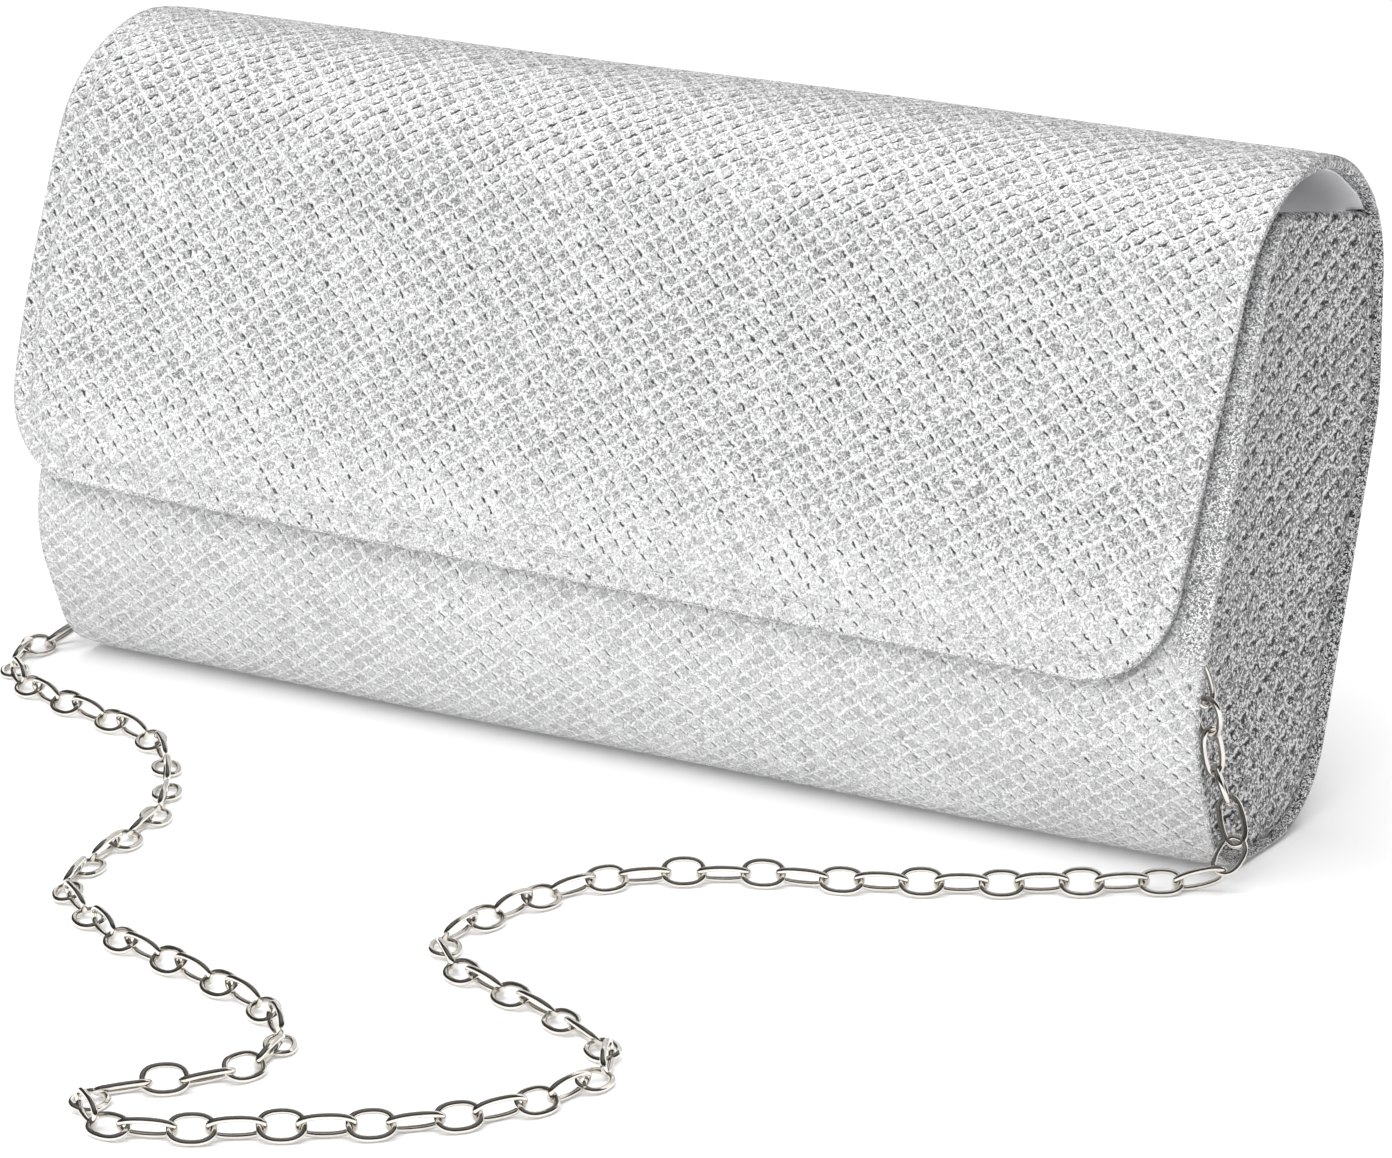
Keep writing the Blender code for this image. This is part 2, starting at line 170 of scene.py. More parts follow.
def make_studio():
    scene = bpy.context.scene
    scene.view_settings.view_transform = "Standard"
    scene.view_settings.look = "None"
    world = bpy.data.worlds.new("studio_room")
    scene.world = world
    world.use_nodes = True
    tree = world.node_tree
    back = tree.nodes["Background"]
    place = tree.nodes.new("ShaderNodeTexCoord")
    split = tree.nodes.new("ShaderNodeSeparateXYZ")
    ramp = tree.nodes.new("ShaderNodeValToRGB")
    tree.links.new(place.outputs["Generated"], split.inputs[0])
    tree.links.new(split.outputs["Z"], ramp.inputs[0])
    tree.links.new(ramp.outputs[0], back.inputs["Color"])
    steps = ramp.color_ramp.elements
    steps[0].position, steps[0].color = 0.0, (0.10, 0.095, 0.09, 1.0)
    steps[1].position, steps[1].color = 0.95, (0.60, 0.60, 0.60, 1.0)
    middle = steps.new(0.50)
    middle.color = (0.14, 0.135, 0.13, 1.0)
    back.inputs["Strength"].default_value = 0.30
    middle_of_bag = (0.0, 0.0, 0.05)
    lamps = [
        soft_box("key", (0.25, -1.40, 0.72), middle_of_bag, 1.2, 0.9, 10.0),
        soft_box("overhead", (-0.1, -0.35, 1.7), (-0.1, -0.35, 0.0), 2.6, 2.6,
                 50.0),
        soft_box("left_side", (-1.20, -0.95, 0.60), middle_of_bag, 0.9, 0.9, 5.0)]
    backdrop = soft_box("backdrop_glow", (0.0, 1.30, 0.60), (0.0, -0.05, 0.0),
                        3.0, 1.4, 16.0)
    inner = soft_box("inside_fill", (0.60, -0.75, 0.33), (0.11, 0.01, 0.098),
                     0.25, 0.25, 8.6)

    mesh = bpy.data.meshes.new("studio_floor")
    mesh.from_pydata([(-9, -9, 0), (9, -9, 0), (9, 9, 0), (-9, 9, 0)], [],
                     [(0, 1, 2, 3)])
    floor = bpy.data.objects.new("studio_floor", mesh)
    scene.collection.objects.link(floor)
    paper = bpy.data.materials.new("white_paper")
    paper.use_nodes = True
    shader = paper.node_tree.nodes["Principled BSDF"]
    shader.inputs["Base Color"].default_value = (0.93, 0.93, 0.935, 1.0)
    shader.inputs["Roughness"].default_value = 0.85
    shader.inputs["Specular IOR Level"].default_value = 0.2
    shader.inputs["Emission Color"].default_value = (1.0, 1.0, 1.0, 1.0)
    shader.inputs["Emission Strength"].default_value = 0.12
    mesh.materials.append(paper)
    return lamps, backdrop, inner


def limit(lamp, pieces, state):
    """A lamp flagged off some pieces, or narrowed to nothing but them."""
    group = bpy.data.collections.new(lamp.name + "_limits")
    for piece in pieces:
        group.objects.link(piece)
    for member in group.collection_objects:
        member.light_linking.link_state = state
    lamp.light_linking.receiver_collection = group


make_camera()
LAMPS, BACKDROP, INSIDE = make_studio()


# -------------------------------------------------------------------- profiles
def support(circle, angle):
    return circle[0] * math.cos(angle) + circle[1] * math.sin(angle) + circle[2]


def leader(circles, angle):
    return max(range(len(circles)), key=lambda i: support(circles[i], angle))


def on_circle(circle, angle):
    c, s = math.cos(angle), math.sin(angle)
    return (circle[0] + circle[2] * c, circle[1] + circle[2] * s, c, s)


def band(circles, start, end, step=1.0):
    """Points with outward normals (y, z, ny, nz) along the band, by angle."""
    count = max(2, int(round(abs(end - start) / step)))
    angles = [math.radians(start + (end - start) * k / count)
              for k in range(count + 1)]
    path, last = [], None
    for k, angle in enumerate(angles):
        now = leader(circles, angle)
        if last is not None and now != last:
            low, high = angles[k - 1], angle
            for _ in range(40):
                mid = 0.5 * (low + high)
                if leader(circles, mid) == last:
                    low = mid
                else:
                    high = mid
            path.append(on_circle(circles[last], low))
            path.append(on_circle(circles[now], high))
        path.append(on_circle(circles[now], angle))
        last = now
    return path


def grown(circle, amount):
    return (circle[0], circle[1], circle[2] + amount)


class Profile:
    """A side profile by length, running straight on past both of its ends."""

    def __init__(self, points):
        p = np.array(points, float)
        step = np.hypot(*np.diff(p[:, :2], axis=0).T)
        p = p[np.r_[True, step > 1e-6]]
        self.p = p
        self.s = np.r_[0.0, np.cumsum(np.hypot(*np.diff(p[:, :2], axis=0).T))]
        self.length = float(self.s[-1])

    def at(self, s):
        s = np.asarray(s, float)
        held = np.clip(s, 0.0, self.length)
        y, z, ny, nz = (np.interp(held, self.s, self.p[:, k]) for k in range(4))
        size = np.hypot(ny, nz)
        ny, nz = ny / size, nz / size
        over = s - held
        return y - over * nz, z + over * ny, ny, nz

    def place(self, x, s, depth):
        y, z, ny, nz = self.at(s)
        return np.column_stack([np.asarray(x) + SHIFT, y - depth * ny,
                                z - depth * nz]) * MM


TOES = [FRONT_TOE, BACK_TOE]
FRONT_BAND = [grown(ARCH, -FLAP_STANDOFF), FRONT_BELLY] + TOES
BACK_BAND = [ARCH, BACK_BELLY] + TOES
FLAP_BAND = [ARCH, grown(FRONT_BELLY, FLAP_STANDOFF)]

body = Profile(band(FRONT_BAND, MOUTH_ANGLE, 269.9)
               + band(BACK_BAND, 270.1, 360.0 + FOLD_ANGLE))
flap = Profile(band(FLAP_BAND, FOLD_ANGLE, 180.0))


# ------------------------------------------------------------------ mesh tools
def smooth_step(low, high, x):
    t = np.clip((x - low) / (high - low), 0.0, 1.0)
    return t * t * (3.0 - 2.0 * t)


def net_shares(net):
    """How much of across and along goes into each of the net's two axes."""
    (ax, ay), (bx, by) = net
    size = ax * by - ay * bx
    return (by / size, -bx / size), (-ay / size, ax / size)


def net_axes(u, v, net):
    (a_u, a_v), (b_u, b_v) = net_shares(net)
    return a_u * u + a_v * v, b_u * u + b_v * v


def net_height(u, v, net):
    """1 on the threads of the net, 0 in the middle of its cells."""
    a, b = net_axes(u, v, net)
    off_a = 0.5 - np.abs(a % 1.0 - 0.5)
    off_b = 0.5 - np.abs(b % 1.0 - 0.5)
    return np.maximum(smooth_step(0.26, 0.02, off_b),
                      0.9 * smooth_step(0.26, 0.02, off_a))


def net_points(low, high, parts, net):
    """Points of the net's own grid in a box, parts to a cell's side."""
    corners = [(x, y) for x in (low[0], high[0]) for y in (low[1], high[1])]
    ab = np.array([net_axes(*c, net) for c in corners])
    i = np.arange(math.floor(ab[:, 0].min() * parts),
                  math.ceil(ab[:, 0].max() * parts) + 1)
    j = np.arange(math.floor(ab[:, 1].min() * parts),
                  math.ceil(ab[:, 1].max() * parts) + 1)
    a, b = (g.ravel() / parts for g in np.meshgrid(i, j, indexing="ij"))
    u = a * net[0][0] + b * net[1][0]
    v = a * net[0][1] + b * net[1][1]
    keep = (u > low[0]) & (u < high[0]) & (v > low[1]) & (v < high[1])
    return np.column_stack([u[keep], v[keep]])


def grid_points(low, high, step):
    x = np.arange(low[0] + step / 2, high[0], step)
    y = np.arange(low[1] + step / 2, high[1], step)
    return np.array([(p + (0.5 * step if k % 2 else 0.0), q)
                     for k, q in enumerate(y) for p in x])


def inside(points, loop, margin):
    """The points that lie inside a loop and at least margin from it."""
    held = np.zeros(len(points), bool)
    a, b = loop, np.roll(loop, -1, axis=0)
    for k in range(0, len(points), 20000):
        p = points[k:k + 20000]
        x, y = p[:, :1], p[:, 1:]
        span = (a[:, 1] > y) != (b[:, 1] > y)
        rise = np.where(np.abs(b[:, 1] - a[:, 1]) < 1e-12, 1e-12,
                        b[:, 1] - a[:, 1])
        cross = x < (b[:, 0] - a[:, 0]) * (y - a[:, 1]) / rise + a[:, 0]
        held[k:k + 20000] = (span & cross).sum(1) % 2 == 1
    points = points[held]
    return points[distance_to(points, loop) > margin]


def distance_to(points, line):
    tree = KDTree(len(line))
    for k, p in enumerate(line):
        tree.insert((p[0], p[1], 0.0), k)
    tree.balance()
    return np.array([tree.find((p[0], p[1], 0.0))[2] for p in points])


def evenly(points, step, closed=False):
    """A polyline with points about step apart."""
    p = np.array(points, float)
    if closed:
        p = np.vstack([p, p[:1]])
    run = np.r_[0.0, np.cumsum(np.linalg.norm(np.diff(p, axis=0), axis=1))]
    count = max(1, int(round(run[-1] / step)))
    at = np.linspace(0.0, run[-1], count + 1)
    out = np.column_stack([np.interp(at, run, p[:, k])
                           for k in range(p.shape[1])])
    return out[:-1] if closed else out


def outward(loop):
    """Unit normals that point out of an anticlockwise loop."""
    way = np.roll(loop, -1, axis=0) - np.roll(loop, 1, axis=0)
    way /= np.linalg.norm(way, axis=1)[:, None]
    return np.column_stack([way[:, 1], -way[:, 0]])


def fill(points, loop):
    """Triangles over points, whose first loop points are the outline."""
    edges = [(k, (k + 1) % loop) for k in range(loop)]
    out = delaunay_2d_cdt([Vector((float(p[0]), float(p[1]))) for p in points],
                          edges, [], 1, 1e-7)
    order = np.array([ids[0] for ids in out[3]])
    return order[np.array([list(f) for f in out[2]], int)]


def make_object(name, points, faces, corner_uv=None, sharp=50.0, turned=None):
    mesh = bpy.data.meshes.new(name)
    mesh.from_pydata(points.tolist(), [], faces)
    if corner_uv is not None:
        layer = mesh.uv_layers.new(name="weave")
        layer.uv.foreach_set("vector", corner_uv.astype(np.float32).ravel())
    # The turned mark; above 1 it darkens the colour as painted shade.
    if turned is not None:
        layer = mesh.attributes.new("turned", "FLOAT", "POINT")
        layer.data.foreach_set("value", turned.astype(np.float32))
    mesh.shade_smooth()
    mesh.set_sharp_from_angle(angle=math.radians(sharp))
    obj = bpy.data.objects.new(name, mesh)
    bpy.context.scene.collection.objects.link(obj)
    return obj


def panel(name, loop, roll, near, far, radius, place, weave, depth, thick,
          slope=None, painted_shade=None, rings=6):
    """A closed padded panel.

    loop is its outline without the rounded edge, anticlockwise; roll says for
    each of its points whether the edge there is rounded (1) or cut (0); near
    and far are the points inside the loop on the shown and the other face;
    place takes flat points and a depth, weave gives texture coordinates,
    depth the shown face's own relief and thick how deep the other face lies;
    slope is how far that face's outline stays inside the shown one. The
    rounded edge and the other face are marked as turned, and so is the shown
    face as far as the painted shade marks say. Marks above 1, on the edge's
    under half and the other face, darken the colour as painted shade.
    """
    n = len(loop)
    out = outward(loop)
    slope = np.zeros(n) if slope is None else slope
    shown = np.vstack([loop, near])
    hidden = np.vstack([loop - out * slope[:, None], far])
    deep = thick(hidden)
    lift = depth(shown)
    points = [place(shown, lift)]
    uv = [weave(shown)]
    shown_faces = fill(shown, n)
    faces = [shown_faces[:, ::-1]]
    corners = [uv[0][faces[0].ravel()]]
    before = np.arange(n)
    before_uv = uv[0][:n]
    count = len(shown)
    # Mark 1.7 on the edge's under half and on the other face: painted shade there.
    under = [1.0 if 2 * k <= rings else 1.7 for k in range(1, rings)]
    marks = np.r_[np.zeros(len(shown)) if painted_shade is None else painted_shade(shown),
                  np.repeat(under, n), np.full(len(hidden), 1.7)]
    ring_faces, ring_uv = [], []
    for k in range(1, rings):
        t = math.pi * k / rings
        flat = loop + out * (radius * math.sin(t) * roll
                             - slope * k / rings)[:, None]
        d = deep[:n] * (1 - math.cos(t)) / 2 + lift[:n] * (1 - k / rings)
        points.append(place(flat, d))
        now = count + np.arange(n)
        now_uv = weave(loop + out * (radius * t))
        ring_faces.append((before, now))
        ring_uv.append((before_uv, now_uv))
        before, before_uv, count = now, now_uv, count + n
    points.append(place(hidden, deep))
    now = count + np.arange(n)
    ring_faces.append((before, now))
    ring_uv.append((before_uv, weave(loop + out * (radius * math.pi))))
    quads = []
    for (a, b), (ua, ub) in zip(ring_faces, ring_uv):
        a2, b2 = np.roll(a, -1), np.roll(b, -1)
        quads.append(np.column_stack([a, a2, b2, b]))
        corners.append(np.stack([ua, np.roll(ua, -1, axis=0),
                                 np.roll(ub, -1, axis=0), ub],
                                axis=1).reshape(-1, 2))
    hidden_faces = fill(hidden, n)
    corners.append((weave(hidden) + 0.37)[hidden_faces.ravel()])
    every = ([f.tolist() for f in faces[0]]
             + [q.tolist() for q in np.vstack(quads)]
             + [(f + count).tolist() for f in hidden_faces])
    points = np.vstack(points)
    corner_uv = np.vstack(corners)
    tri = np.array([(f[0], f[k], f[k + 1]) for f in every
                    for k in range(1, len(f) - 1)])
    p, q, r = (points[tri[:, k]] for k in range(3))
    if (p * np.cross(q, r)).sum() < 0:
        start, turned = 0, []
        for f in every:
            turned.append(corner_uv[start:start + len(f)][::-1])
            start += len(f)
        corner_uv = np.vstack(turned)
        every = [f[::-1] for f in every]
    return make_object(name, points, every, corner_uv, turned=marks)


# ------------------------------------------------------------------- materials
class Tree:
    """A material's nodes, with short names for the steps used here."""

    def __init__(self, name):
        self.material = bpy.data.materials.new(name)
        self.material.use_nodes = True
        self.nodes = self.material.node_tree.nodes
        self.links = self.material.node_tree.links
        self.shader = self.nodes["Principled BSDF"]

    def put(self, socket, value):
        if isinstance(value, bpy.types.NodeSocket):
            self.links.new(value, socket)
        elif value is not None:
            socket.default_value = value

    def set(self, **values):
        for key, value in values.items():
            self.put(self.shader.inputs[key.replace("_", " ")], value)

    def math(self, operation, a, b=None, c=None, clamp=False):
        node = self.nodes.new("ShaderNodeMath")
        node.operation, node.use_clamp = operation, clamp
        for k, value in enumerate((a, b, c)):
            self.put(node.inputs[k], value)
        return node.outputs[0]

    def step(self, value, low, high, to_low=0.0, to_high=1.0, kind="SMOOTHSTEP"):
        node = self.nodes.new("ShaderNodeMapRange")
        node.interpolation_type = kind
        for k, number in enumerate((value, low, high, to_low, to_high)):
            self.put(node.inputs[k], number)
        return node.outputs[0]

    def weave(self):
        node = self.nodes.new("ShaderNodeUVMap")
        node.uv_map = "weave"
        return node.outputs[0]

    def turned(self):
        node = self.nodes.new("ShaderNodeAttribute")
        node.attribute_name = "turned"
        return node.outputs["Fac"]

    def moved(self, vector, by):
        node = self.nodes.new("ShaderNodeVectorMath")
        self.links.new(vector, node.inputs[0])
        node.inputs[1].default_value = by
        return node.outputs[0]

    def object_place(self):
        return self.nodes.new("ShaderNodeTexCoord").outputs["Object"]

    def split(self, vector):
        node = self.nodes.new("ShaderNodeSeparateXYZ")
        self.links.new(vector, node.inputs[0])
        return node.outputs

    def join(self, x, y, z=0.0):
        node = self.nodes.new("ShaderNodeCombineXYZ")
        for k, value in enumerate((x, y, z)):
            self.put(node.inputs[k], value)
        return node.outputs[0]

    def noise(self, at, scale, detail=2.0, rough=0.5, flat=True):
        node = self.nodes.new("ShaderNodeTexNoise")
        node.noise_dimensions = "2D" if flat else "3D"
        self.links.new(at, node.inputs["Vector"])
        node.inputs["Scale"].default_value = scale
        node.inputs["Detail"].default_value = detail
        node.inputs["Roughness"].default_value = rough
        return node.outputs["Fac"]

    def flakes(self, at, scale, flat=True):
        """A random colour and a distance for each small flake."""
        node = self.nodes.new("ShaderNodeTexVoronoi")
        node.voronoi_dimensions = "2D" if flat else "3D"
        self.links.new(at, node.inputs["Vector"])
        node.inputs["Scale"].default_value = scale
        shade = self.nodes.new("ShaderNodeSeparateColor")
        self.links.new(node.outputs["Color"], shade.inputs[0])
        return shade.outputs, node.outputs["Distance"]

    def chance(self, at):
        node = self.nodes.new("ShaderNodeTexWhiteNoise")
        node.noise_dimensions = "2D"
        self.links.new(at, node.inputs["Vector"])
        return node.outputs["Value"]

    def ramp(self, value, *stops):
        node = self.nodes.new("ShaderNodeValToRGB")
        self.links.new(value, node.inputs[0])
        steps = node.color_ramp.elements
        while len(steps) < len(stops):
            steps.new(0.5)
        for step, (place, colour) in zip(steps, stops):
            step.position = place
            step.color = (*colour, 1.0)
        return node.outputs[0]

    def bump(self, height, distance, strength=1.0, under=None):
        node = self.nodes.new("ShaderNodeBump")
        node.inputs["Strength"].default_value = strength
        node.inputs["Distance"].default_value = distance
        self.links.new(height, node.inputs["Height"])
        if under is not None:
            self.links.new(under, node.inputs["Normal"])
        return node.outputs[0]


def in_net(t, at, net, loose):
    """A point's place in its diamond of the net, and the diamond's own chance.
    The threads wander by up to about a quarter of loose, in millimetres."""
    x, y, _ = t.split(at)
    wobble = t.noise(at, 0.55, 1.0)
    twist = t.noise(t.moved(at, (13.1, 47.9, 0.0)), 0.75, 1.0)
    x = t.math("ADD", x, t.math("MULTIPLY", t.math("SUBTRACT", wobble, 0.5), loose))
    y = t.math("ADD", y, t.math("MULTIPLY", t.math("SUBTRACT", twist, 0.5), loose))
    (a_x, a_y), (b_x, b_y) = net_shares(net)
    a = t.math("MULTIPLY_ADD", x, a_x, t.math("MULTIPLY", y, a_y))
    b = t.math("MULTIPLY_ADD", x, b_x, t.math("MULTIPLY", y, b_y))
    luck = t.chance(t.join(t.math("FLOOR", a), t.math("FLOOR", b)))
    return t.math("FRACT", a), t.math("FRACT", b), luck


def line_of(t, field, outer, inner):
    """Thin winding lines where a noise field passes its middle."""
    return t.step(t.math("ABSOLUTE", t.math("SUBTRACT", field, 0.5)), outer, inner)


def off_thread(t, part):
    return t.math("SUBTRACT", 0.5,
                  t.math("ABSOLUTE", t.math("SUBTRACT", part, 0.5)))


def between(t, value, low, high, soft):
    return t.math("MULTIPLY", t.step(value, low - soft, low + soft),
                  t.step(value, high + soft, high - soft))


def total(t, start, *shares):
    """A start value plus signals, each with its weight, kept within 0 and 1."""
    value = start
    for k, (signal, weight) in enumerate(shares):
        value = t.math("MULTIPLY_ADD", signal, weight, value,
                       clamp=k == len(shares) - 1)
    return value


def glitter_fabric(name, dark, light, metal, rough):
    """Silver thread netted in diamonds over a paler ground, with glitter."""
    t = Tree(name)
    at = t.weave()
    along = t.split(at)[1]
    part_a, part_b, luck = in_net(t, at, NET, 0.9)
    turned = t.turned()
    face = t.math("MULTIPLY_ADD", turned, -0.85, 1.0)

    # Over the fold (the arch) each cell gets painted shade to one side, the painted
    # shadow slit sits on another side, and the colour is painted a little lighter
    # where the light falls on the top.
    arch = t.math("MULTIPLY", t.step(along, -60.0, -46.0),
                  t.step(along, 60.0, 30.0))
    # The lower front panel: its net is calmer, and its cells are painted lighter,
    # standing for the floor's bounce light.
    low = t.step(along, 118.0, 135.0)
    across, _, _ = t.split(at)
    # Broad patches, stretched across: they vary the slits at random and lighten the
    # cells as painted highlight patches.
    patch = t.noise(t.join(t.math("MULTIPLY", across, 0.6), along), 0.055, 2.0,
                    0.6)
    cloud = t.noise(at, 0.30, 2.0, 0.6)

    # White threads with ragged sides, and the grey cells between them.
    rag = t.noise(at, 1.5, 2.0, 0.6)
    off = t.math("MINIMUM", off_thread(t, part_a), off_thread(t, part_b))
    # A painted highlight band across the flap's lower part, where the glitter
    # catches the light; its net is calmer there too.
    painted_sheen = t.step(along, -90.0, -112.0)
    calm = t.math("MAXIMUM", low, t.math("MULTIPLY", painted_sheen, 0.6))
    off = t.math("MULTIPLY_ADD", t.math("SUBTRACT", rag, 0.5),
                 t.step(calm, 0.0, 1.0, 0.40, 0.22, "LINEAR"), off)
    cell = t.math("MULTIPLY", t.step(off, 0.08, 0.14), face)

    # A painted shadow: a dark slit along one side of each cell, beside the raised
    # thread, over a shallow dent in the bump; over the fold it sits on another side
    # of the cell.
    shadow_slit = t.math("MULTIPLY", between(t, part_a, 0.76, 0.88, 0.03),
                  between(t, part_b, 0.26, 0.76, 0.05))
    shadow_slit_arch = t.math("MULTIPLY", between(t, part_b, 0.74, 0.87, 0.03),
                       between(t, part_a, 0.22, 0.82, 0.05))
    shadow_slit = t.math("MULTIPLY_ADD", t.math("SUBTRACT", shadow_slit_arch, shadow_slit), arch, shadow_slit)
    shadow_slit = t.math("MULTIPLY", shadow_slit, t.step(luck, 0.20, 0.45, 0.05, 1.0))
    upper = t.math("MULTIPLY", t.step(along, -100.0, -74.0),
                   t.step(along, 60.0, 30.0))
    shadow_slit = t.math("MULTIPLY", shadow_slit, t.math(
        "MAXIMUM", upper, t.step(patch, 0.40, 0.56, 0.45, 1.0)))
    shadow_slit = t.math("MULTIPLY", shadow_slit, t.step(low, 0.0, 1.0, 1.0, 0.75))
    shadow_slit = t.math("MULTIPLY", shadow_slit, face)

    # Winding white and grey strands over both.
    fine, _ = t.flakes(at, 4.6)
    stroke = line_of(t, t.noise(at, 1.25, 1.0), 0.085, 0.03)
    nick = line_of(t, t.noise(t.moved(at, (31.7, 17.3, 0.0)), 1.25, 1.0),
                   0.075, 0.025)
    ground = total(t, 0.73, (fine[1], 0.38), (stroke, 0.20), (nick, -0.42))
    # Painted shade over part of each cell on the fold.
    shade = t.math("MULTIPLY", arch, t.step(part_b, 0.35, 0.75))
    strand = t.math("MULTIPLY", stroke, t.step(calm, 0.0, 1.0, 1.0, 0.35))
    # The cells' colour carries painted light: lighter on the lower front, in the
    # highlight band and the highlight patches and on the fold, with painted shade on
    # the fold's half cells.
    inner = total(t, 0.11, (fine[1], 0.30), (strand, 0.46), (cloud, 0.16),
                  (luck, 0.14), (t.step(patch, 0.50, 0.68), 0.06),
                  (painted_sheen, 0.20), (low, 0.20), (arch, 0.06), (shade, -0.16),
                  (nick, -0.16))
    value = t.math("MULTIPLY_ADD", t.math("SUBTRACT", inner, ground), cell,
                   ground)
    value = total(t, value, (shadow_slit, -0.72))
    # Painted shade where the turned mark is set, as on edges that turn away from the
    # light: the rounded edges and hidden faces, and from the painted shade marks the
    # strip beside the flap, the base's bottom edge and the stitched groove; there
    # the cloth also shows its dull side, without the net.
    flat = t.step(fine[0], 0.15, 0.85, 0.36, 1.05)
    value = t.math("MULTIPLY", value, t.math(
        "MULTIPLY_ADD", t.math("SUBTRACT", flat, 1.0), turned, 1.0))
    t.set(Base_Color=t.ramp(value, (0.0, dark), (1.0, light)))
    t.set(Metallic=metal)
    t.set(Roughness=t.step(fine[0], 0.0, 1.0, rough - 0.12, rough + 0.15,
                           "LINEAR"))
    height = total(t, 0.40, (cell, -0.14), (fine[1], 0.06), (stroke, 0.08),
                   (nick, -0.05), (shadow_slit, -0.10))
    t.set(Normal=t.bump(height, 0.001, 0.9))
    t.set(Specular_IOR_Level=0.5)
    return t.material


def glitter_gusset(name, dark, light, metal, rough):
    """The same cloth on the gussets, painted as seen in raking light: a darker
    ground, partly painted shade, round glitter painted near-white as glints, a
    bright stitch with a painted shadow slit under it in each cell, thin cross
    threads."""
    t = Tree(name)
    at = t.weave()
    part_a, part_b, luck = in_net(t, at, GUSSET_NET, 1.2)
    worn = t.noise(at, 0.9, 2.0, 0.6)
    thread = t.math("MULTIPLY", t.step(off_thread(t, part_a), 0.08, 0.03),
                    t.step(worn, 0.40, 0.60))
    length = between(t, part_a, 0.22, 0.76, 0.06)
    lit = t.step(luck, 0.05, 0.45, 0.25, 1.0)
    pick = t.math("MULTIPLY", t.math("MULTIPLY", length, lit),
                  between(t, part_b, 0.44, 0.57, 0.03))
    # Painted shadow: a dark slit under each bright stitch.
    shadow_slit = t.math("MULTIPLY", t.math("MULTIPLY", length, lit),
                  between(t, part_b, 0.66, 0.82, 0.03))
    flake, away = t.flakes(at, 1.1)
    # Round glitter dots, painted near-white as glints.
    dot = t.math("MULTIPLY", t.step(away, 0.32, 0.20),
                 t.step(flake[0], 0.27, 0.34))
    fine, _ = t.flakes(at, 3.4)
    stroke = line_of(t, t.noise(at, 0.95, 1.0), 0.05, 0.02)
    nick = line_of(t, t.noise(t.moved(at, (31.7, 17.3, 0.0)), 0.9, 1.0),
                   0.06, 0.02)
    cloud = t.noise(at, 0.30, 2.0, 0.6)
    value = total(t, 0.06, (fine[1], 0.22), (cloud, 0.18), (stroke, 0.62),
                  (thread, 0.54), (pick, 0.90), (dot, 0.95), (nick, -0.30),
                  (shadow_slit, -0.66))
    t.set(Base_Color=t.ramp(value, (0.0, dark), (1.0, light)))
    t.set(Metallic=metal)
    t.set(Roughness=t.step(fine[0], 0.0, 1.0, rough - 0.12, rough + 0.15,
                           "LINEAR"))
    height = total(t, 0.15, (dot, 0.10), (thread, 0.10), (pick, 0.14),
                   (stroke, 0.06), (nick, -0.05), (shadow_slit, -0.12))
    t.set(Normal=t.bump(height, 0.001, 0.9))
    t.set(Specular_IOR_Level=0.5)
    return t.material


def satin(name, dark, light):
    t = Tree(name)
    at = t.weave()
    x, y, _ = t.split(at)
    rib = t.math("SINE", t.math("MULTIPLY", t.math("ADD", x, t.math(
        "MULTIPLY", y, 0.8)), 14.0))
    slub = t.noise(t.join(t.math("MULTIPLY", x, 0.25), y), 2.2, 2.0)
    cloud = t.noise(at, 0.05, 2.0)
    value = t.math("ADD", t.math("MULTIPLY", rib, 0.05),
                   t.math("ADD", t.math("MULTIPLY", slub, 0.35),
                          t.math("MULTIPLY", cloud, 0.55)), clamp=True)
    t.set(Base_Color=t.ramp(value, (0.15, dark), (0.75, light)))
    t.set(Roughness=t.step(slub, 0.2, 0.8, 0.34, 0.5, "LINEAR"))
    t.set(Sheen_Weight=0.25)
    t.set(Normal=t.bump(t.math("ADD", t.math("MULTIPLY", rib, 0.012),
                               t.math("MULTIPLY", slub, 0.03)), 0.001, 0.6))
    return t.material


def polished_nickel(name):
    t = Tree(name)
    at = t.object_place()
    cloud = t.noise(at, 420.0, 3.0, 0.6, flat=False)
    scuff = t.noise(at, 2600.0, 2.0, 0.5, flat=False)
    t.set(Base_Color=t.ramp(cloud, (0.25, (0.70, 0.665, 0.61)),
                            (0.75, (0.84, 0.81, 0.765))))
    t.set(Metallic=1.0)
    t.set(Roughness=t.step(scuff, 0.25, 0.75, 0.07, 0.2, "LINEAR"))
    t.set(Normal=t.bump(cloud, 0.00004, 0.5))
    return t.material


def thread_material(name, dark, light):
    t = Tree(name)
    at = t.object_place()
    ply = t.noise(at, 3000.0, 2.0, 0.6, flat=False)
    t.set(Base_Color=t.ramp(ply, (0.3, dark), (0.7, light)))
    t.set(Roughness=t.step(ply, 0.3, 0.7, 0.4, 0.65, "LINEAR"))
    t.set(Metallic=0.25)
    t.set(Normal=t.bump(ply, 0.00008, 0.8))
    return t.material


def board_material(name):
    t = Tree(name)
    at = t.object_place()
    pulp = t.noise(at, 900.0, 4.0, 0.65, flat=False)
    fleck, _ = t.flakes(at, 1600.0, flat=False)
    value = t.math("ADD", t.math("MULTIPLY", pulp, 0.75),
                   t.math("MULTIPLY", fleck[0], 0.25))
    t.set(Base_Color=t.ramp(value, (0.3, (0.33, 0.32, 0.30)),
                            (0.7, (0.50, 0.49, 0.465))))
    t.set(Roughness=t.step(pulp, 0.2, 0.8, 0.8, 0.98, "LINEAR"))
    t.set(Normal=t.bump(pulp, 0.0001, 0.7))
    return t.material


